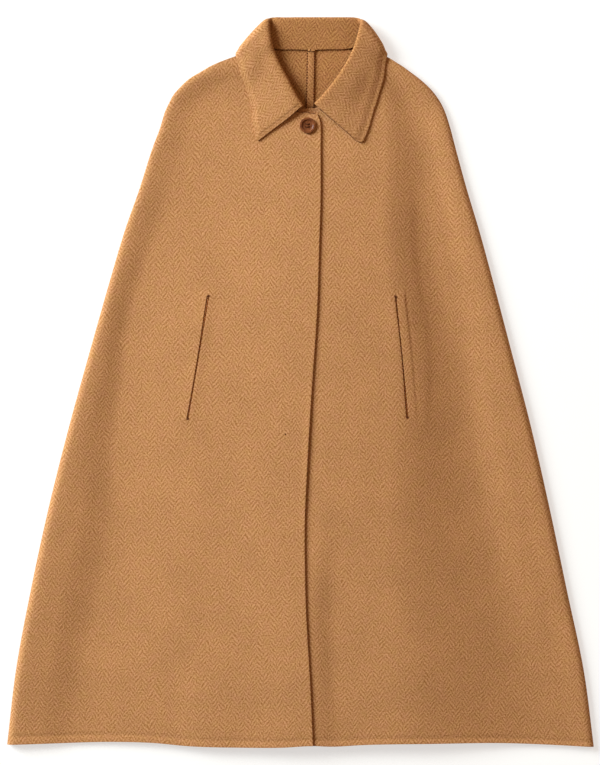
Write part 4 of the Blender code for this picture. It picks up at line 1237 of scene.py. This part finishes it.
def strap_stitches():
    """Two rows of felling stitches, where the neck opening shows them."""
    places = []
    for along in np.arange(STRAP_STITCHED_FROM, STRAP_STITCHED_TO, -STRAP_STITCH.spacing):
        for sign in (-1.0, 1.0):
            across = centre_back(along) + sign * (STRAP_WIDTH / 2 - STRAP_STITCH_INSET)
            places.append((across, along, strap_level(across, along)))
    return sew("strap_stitching", STRAP_STITCH, places, [STRAP_STITCH_WAY] * len(places))


def bar_tacks(side):
    """Threads across both ends of a slit."""
    places = []
    for end, inward in ((SLITS[side].top[1], -1.0), (SLITS[side].bottom[1], 1.0)):
        for index in range(len(TACK_WAYS)):
            along = end + inward * (index - 0.5) * TACK.spacing
            lip = across_at(slit_line(side), along)
            other_lip = lip + SIGN[side] * SLIT_WIDTH
            level = max(front_top(side, across, along) for across in (lip, other_lip))
            places.append(((lip + other_lip) / 2, along, level))
    return sew("bar_tacks_" + side, TACK, places, TACK_WAYS * 2)


def neck_shadow_stitches():
    """A row of dark stitches along the right front's neck edge, between the wings: painted shadow
    of the crease there.
    """
    line = curve_through(NECKLINES["right"], SIDE_STEPS)
    line = line[line[:, 0] > NECK_SHADOW_FROM]
    count = int(np.linalg.norm(line[-1] - line[0]) / NECK_SHADOW_STITCH.spacing)
    spots = points_along(line, np.linspace(0.0, NECK_SHADOW_SHARE, count))
    places = [(across, along - NECK_SHADOW_INSET, front_top("right", across, along))
              for across, along in spots]
    return sew("neck_shadow_stitching", NECK_SHADOW_STITCH, places, [NECK_SHADOW_WAY] * count)


def wing_shadow_stitches():
    """A row of dark stitches on the front just outside the left wing's front edge: painted shadow
    of the crease under the edge.
    """
    line = curve_through([point[:2] for point in COLLAR[-1][2:]], SIDE_STEPS)
    run = line[-1] - line[0]
    start, end = WING_SHADOW_SPAN
    count = int(np.linalg.norm(run) * (end - start) / WING_SHADOW_STITCH.spacing)
    outward = unit(np.array([run[1], -run[0]]))
    spots = points_along(line, np.linspace(start, end, count)) + outward * WING_SHADOW_OUT
    places = [(across, along, front_top("left", across, along)) for across, along in spots]
    return sew("wing_shadow_stitching", WING_SHADOW_STITCH, places, [run] * count)


def add_nep():
    """A dark knot of fibres in the right front, that stands just proud of the cloth."""
    return sew("dark_nep", NEP, [(*NEP_PLACE, front_top("right", *NEP_PLACE))], [NEP_WAY])


stitching = [strap_stitches(), neck_shadow_stitches(), wing_shadow_stitches(), bar_tacks("right"),
             bar_tacks("left")]
print("stitches:", [len(piece.data.polygons) for piece in stitching])
nep = add_nep()
print("nep at", NEP_PLACE)

# %% [markdown]
# ## The cloth as a material
# Camel herringbone: a soft woollen twill whose diagonal turns back every 9 mm, so the ribs make
# chevrons. The ribs are a sine wave whose phase climbs with a triangle wave across the cloth. Over
# them lie the wool's own unevenness: slubs along the yarn, fine nap and slow changes of tone. The
# pattern is drawn on the UV map, which is the flat cloth in metres, so it bends with the cloth.

# %% Helpers for materials
MIX_SHARE = 0
MIX_FIRST = 6
MIX_SECOND = 7
MIX_RESULT = 2


def linear(hex_colour):
    """A hex sRGB colour as linear red, green, blue and alpha."""
    parts = [int(hex_colour[index:index + 2], 16) / 255.0 for index in (1, 3, 5)]
    return (*(part / 12.92 if part <= 0.04045 else ((part + 0.055) / 1.055) ** 2.4
              for part in parts), 1.0)


def new_material(name, constants):
    """A material whose shader has these constants, with its nodes and its shader."""
    material = bpy.data.materials.new(name)
    material.use_nodes = True
    shader = material.node_tree.nodes["Principled BSDF"]
    for socket, value in constants.items():
        shader.inputs[socket].default_value = value
    return material, material.node_tree, shader


def add_node(tree, kind, settings):
    """Add a node. A setting that is a node or a socket is linked in, another is its value."""
    node = tree.nodes.new("ShaderNode" + kind)
    for name, value in settings.items():
        if isinstance(value, bpy.types.Node):
            value = value.outputs[0]
        if isinstance(value, bpy.types.NodeSocket):
            tree.links.new(value, node.inputs[name])
        elif isinstance(name, str) and hasattr(node, name):
            setattr(node, name, value)
        else:
            node.inputs[name].default_value = value
    return node


print("white is", linear("#FFFFFF"))

# %% Herringbone wool
# Sizes of the weave in millimetres, as it is woven: width of a stripe, and rise from rib to rib.
STRIPE = 9.25
RIB_RISE = 7.0
RIB_SLOPE = 1.28
# How large its drift and its wandering are, also in millimetres, and how far they move the ribs.
DRIFT_SIZE = 38.0
DRIFT = (11.0, 11.0, 0.0)
WANDER_SIZE = 3.2
WANDER = (3.4, 3.4, 0.0)
# What is uneven in it: the size of the spots in millimetres, and which noise values give what.
# Brushing hides the ribs more in some places than in others, under a fuzz of fibres. Real fibres
# are under a tenth of a millimetre thick, so their tufts are drawn 2 mm wide to show.
# Dyed fleece is never quite even: patches lean to ochre or rose, slow clouds to light or dark.
UNEVEN = table(
    "name size detail roughness start end low high clamp",
    ("clear", 11.0, 2.0, 0.5, 0.35, 0.65, 0.26, 0.78, True),
    ("fuzz", 2.1, 3.0, 0.6, 0.4, 0.6, -0.55, 0.55, False),
    ("lean", 14.0, 3.0, 0.5, 0.3, 0.7, 0.0, 1.0, True),
    ("tone", 60.0, 4.0, 0.5, 0.3, 0.7, 0.95, 1.05, True))
OUTSIDE = ("#9D6836", "#D29C6D")
# The darker reverse colour: partly the cloth's reverse, on the backs and strap, and partly painted
# shade: in the neck opening, on the collar's stand and roll, and as a thin shadow line at the left
# wing's front end.
REVERSE_AND_PAINTED_SHADE = ("#8A562B", "#C28C58")
WOOL_SHEEN = "#E8C79C"
OCHRE_TINT = (0.985, 1.016, 0.92, 1.0)
ROSE_TINT = (1.015, 0.986, 1.05, 1.0)


def wool_material(name):
    """Thick woollen herringbone, brushed on its outside, on the weave UV map."""
    # Woven, fulled and brushed: the eye gets soft ribs under a matt fuzz, pale at grazing angles.
    material, tree, shader = new_material(name, {
        "Roughness": 0.95, "Specular IOR Level": 0.25, "Sheen Weight": 0.12,
        "Sheen Roughness": 0.5, "Sheen Tint": linear(WOOL_SHEEN)})
    spot = add_node(tree, "UVMap", {"uv_map": "weave"})
    flat = add_node(tree, "VectorMath", {"operation": "SCALE", 0: spot, "Scale": 1 / MM})
    # The weave drifts slowly over the cloth, and its yarn wanders from pick to pick.
    slow = add_node(tree, "TexNoise", {"Scale": 1 / DRIFT_SIZE, "Vector": flat})
    quick = add_node(tree, "TexNoise", {"Scale": 1 / WANDER_SIZE, "Vector": flat})
    drifted = add_node(tree, "VectorMath", {
        "operation": "MULTIPLY_ADD", 0: slow.outputs["Color"], 1: DRIFT, 2: flat})
    place = add_node(tree, "VectorMath", {
        "operation": "MULTIPLY_ADD", 0: quick.outputs["Color"], 1: WANDER, 2: drifted})
    # Chevrons: ribs climb across each stripe and turn back at its edge, half a rib out of step.
    split = add_node(tree, "SeparateXYZ", {0: place})
    across, along = split.outputs["X"], split.outputs["Y"]
    zigzag = add_node(tree, "Math", {"operation": "PINGPONG", 0: across, 1: STRIPE})
    climb = add_node(tree, "Math", {
        "operation": "MULTIPLY_ADD", 0: zigzag, 1: RIB_SLOPE, 2: along})
    around = add_node(tree, "Math", {"operation": "FLOORED_MODULO", 0: across, 1: 2 * STRIPE})
    turned = add_node(tree, "Math", {"operation": "GREATER_THAN", 0: around, 1: STRIPE})
    stepped = add_node(tree, "Math", {
        "operation": "MULTIPLY_ADD", 0: turned, 1: RIB_RISE / 2, 2: climb})
    angle = add_node(tree, "Math", {
        "operation": "MULTIPLY", 0: stepped, 1: 2 * math.pi / RIB_RISE})
    wave = add_node(tree, "Math", {"operation": "SINE", 0: angle})
    # The ribs are clearer where less brushed, and the fuzz lies over them.
    uneven = {}
    for row in UNEVEN:
        spots = add_node(tree, "TexNoise", {
            "Scale": 1 / row.size, "Detail": row.detail, "Roughness": row.roughness,
            "Vector": flat})
        uneven[row.name] = add_node(tree, "MapRange", {
            "clamp": row.clamp, "Value": spots, "From Min": row.start, "From Max": row.end,
            "To Min": row.low, "To Max": row.high})
    rib = add_node(tree, "Math", {"operation": "MULTIPLY", 0: wave, 1: uneven["clear"]})
    yarn = add_node(tree, "Math", {"operation": "ADD", 0: rib, 1: uneven["fuzz"]})
    share = add_node(tree, "MapRange", {
        "clamp": False, "Value": yarn, "From Min": -1.0, "From Max": 1.0})
    # The second colour mix is the darker reverse colour, which also serves as painted shade.
    outside, inside = (add_node(tree, "Mix", {
        "data_type": "RGBA", MIX_SHARE: share, MIX_FIRST: linear(dark),
        MIX_SECOND: linear(light)}) for dark, light in (OUTSIDE, REVERSE_AND_PAINTED_SHADE))
    # This attribute mixes in the darker reverse colour, where it stands for the reverse and for
    # painted shade.
    reverse = add_node(tree, "Attribute", {"attribute_name": "reverse"})
    colour = add_node(tree, "Mix", {
        "data_type": "RGBA", MIX_SHARE: reverse.outputs["Fac"],
        MIX_FIRST: outside.outputs[MIX_RESULT], MIX_SECOND: inside.outputs[MIX_RESULT]})
    tint = add_node(tree, "Mix", {
        "data_type": "RGBA", MIX_SHARE: uneven["lean"], MIX_FIRST: OCHRE_TINT,
        MIX_SECOND: ROSE_TINT})
    tinted = add_node(tree, "VectorMath", {
        "operation": "MULTIPLY", 0: colour.outputs[MIX_RESULT], 1: tint.outputs[MIX_RESULT]})
    shaded = add_node(tree, "VectorMath", {
        "operation": "SCALE", 0: tinted, "Scale": uneven["tone"]})
    bump = add_node(tree, "Bump", {"Strength": 0.3, "Distance": 0.0005, "Height": share})
    tree.links.new(shaded.outputs[0], shader.inputs["Base Color"])
    tree.links.new(bump.outputs[0], shader.inputs["Normal"])
    return material


wool = wool_material("brushed camel herringbone wool")
print("wool made")

# %% Horn and thread
Streaks = namedtuple("Streaks", "kind settings start end")
CLOUDY = Streaks("TexNoise", {"Scale": 220.0, "Detail": 4.0, "Distortion": 1.5}, 0.3, 0.7)
TWISTED = Streaks("TexWave", {"Scale": 900.0}, 0.0, 1.0)
GLOSSY = {"Roughness": 0.38, "IOR": 1.54}
DULL = {"Roughness": 0.9, "Specular IOR Level": 0.15}


def streaked_material(name, streaks, dark, light, constants):
    """A solid colour that streaks lead from dark to light."""
    material, tree, shader = new_material(name, constants)
    spot = add_node(tree, "TexCoord", {}).outputs["Object"]
    pattern = add_node(tree, streaks.kind, {**streaks.settings, "Vector": spot})
    colour = add_node(tree, "ValToRGB", {"Fac": pattern.outputs["Fac"]})
    first, last = colour.color_ramp.elements
    first.position, first.color = streaks.start, linear(dark)
    last.position, last.color = streaks.end, linear(light)
    tree.links.new(colour.outputs["Color"], shader.inputs["Base Color"])
    return material


# Sawn, turned and buffed: the eye gets warm dark clouds below a soft gloss.
horn = streaked_material("polished dark horn", CLOUDY, "#5A2A12", "#8E5229", GLOSSY)
# Twisted and waxed: the eye gets a dark, dull cord. Its twist is drawn coarser, so that it shows.
thread_finish = streaked_material("waxed button thread", TWISTED, "#4A2412", "#774322", DULL)
# A knot of undyed dark wool: the eye gets a small brown speck in the weave.
nep_finish = streaked_material("dark wool nep", TWISTED, "#44220A", "#573010", DULL)
print("horn, thread and nep made")

# %% Give each piece its finish
CLOTH_PIECES = {
    "front_right": fronts["right"],
    "front_left": fronts["left"],
    "back_right": backs["right"],
    "back_left": backs["left"],
    "centre_back_strap": strap,
    "collar": collar,
    "welt_right": welts["right"],
    "welt_left": welts["left"],
}


def finish_piece(piece, material):
    """The piece's only material."""
    piece.data.materials.clear()
    piece.data.materials.append(material)


# The dark stitch rows on the neck and the left wing, which are painted shadow, take the thread's
# finish.
FINISHES = ((CLOTH_PIECES.values(), wool), ([button], horn),
            ([thread, *stitching], thread_finish), ([nep], nep_finish))
for pieces, material in FINISHES:
    for piece in pieces:
        finish_piece(piece, material)
print("finishes:", [material.name for pieces, material in FINISHES])

# %% [markdown]
# ## Floor, light and camera
# One large soft light from the upper left rakes across the cloth, so that low folds show. A weak
# warm one from the upper right and the dim room stand for light that comes back from the walls.
# Without them the shaded slopes would go grey. The camera looks straight down from far away, as
# over a table, so that nothing is foreshortened.

# %% Floor
# Painted and faintly lit from below: the eye gets plain white with only a breath of shadow on it.
floor_finish = new_material("matt white studio floor", {
    "Base Color": linear("#B4B4B2"), "Roughness": 0.9, "Emission Color": (1.0, 1.0, 1.0, 1.0),
    "Emission Strength": 0.62})[0]
floor = add_shape(bpy.ops.mesh.primitive_plane_add, "floor", size=8.0)
finish_piece(floor, floor_finish)
print("floor made")

# %% Lights
Lamp = namedtuple("Lamp", "azimuth elevation distance size power colour")
KEY = Lamp(151.0, 26.0, 7.0, 3.5, 915.0, (0.925, 1.012, 1.05))
FILL = Lamp(50.0, 42.0, 7.0, 4.1, 85.0, (1.0, 0.66, 0.38))
ROOM_COLOUR = (1.0, 0.64, 0.38, 1.0)
ROOM_STRENGTH = 0.165


def add_soft_box(name, lamp):
    """Square soft light that looks at the middle of the cape."""
    azimuth, elevation = math.radians(lamp.azimuth), math.radians(lamp.elevation)
    direction = Vector((math.cos(azimuth) * math.cos(elevation),
                        math.sin(azimuth) * math.cos(elevation), math.sin(elevation)))
    light = bpy.data.lights.new(name, "AREA")
    light.size = lamp.size
    light.energy = lamp.power
    light.color = lamp.colour
    holder = bpy.data.objects.new(name, light)
    bpy.context.scene.collection.objects.link(holder)
    holder.location = direction * lamp.distance
    holder.rotation_euler = (-direction).to_track_quat("-Z", "Y").to_euler()


add_soft_box("key", KEY)
add_soft_box("fill", FILL)
world = bpy.data.worlds.new("pale room")
bpy.context.scene.world = world
world.use_nodes = True
room = world.node_tree.nodes["Background"]
room.inputs["Color"].default_value = ROOM_COLOUR
room.inputs["Strength"].default_value = ROOM_STRENGTH
bpy.context.scene.view_settings.view_transform = "Standard"
print("lights: key, fill and room")

# %% Camera
FRAME_WIDTH = 870.0
FRAME_CENTRE = (-0.7, -0.7)
FRAME_LEVEL = 5.0
CAMERA_HEIGHT = 4000.0
SENSOR_WIDTH = 36.0
lens = bpy.data.cameras.new("camera")
lens.sensor_fit = "HORIZONTAL"
lens.sensor_width = SENSOR_WIDTH
lens.lens = SENSOR_WIDTH * (CAMERA_HEIGHT - FRAME_LEVEL) / FRAME_WIDTH
lens.clip_end = 50.0
camera = bpy.data.objects.new("camera", lens)
bpy.context.scene.collection.objects.link(camera)
camera.location = metres(*FRAME_CENTRE, CAMERA_HEIGHT)
bpy.context.scene.camera = camera
print("camera's lens, mm:", round(lens.lens, 1))

# %% [markdown]
# ## Tie the pieces to the model
# Each shell stands for the solid of its own name, which it hides, and rides on the one body.

# %% Riding and replacing
for node, piece in CLOTH_PIECES.items():
    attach(piece, "root")
    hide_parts(node)
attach(button, "root")
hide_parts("button")
for piece in (thread, *stitching, nep):
    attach(piece, "root")
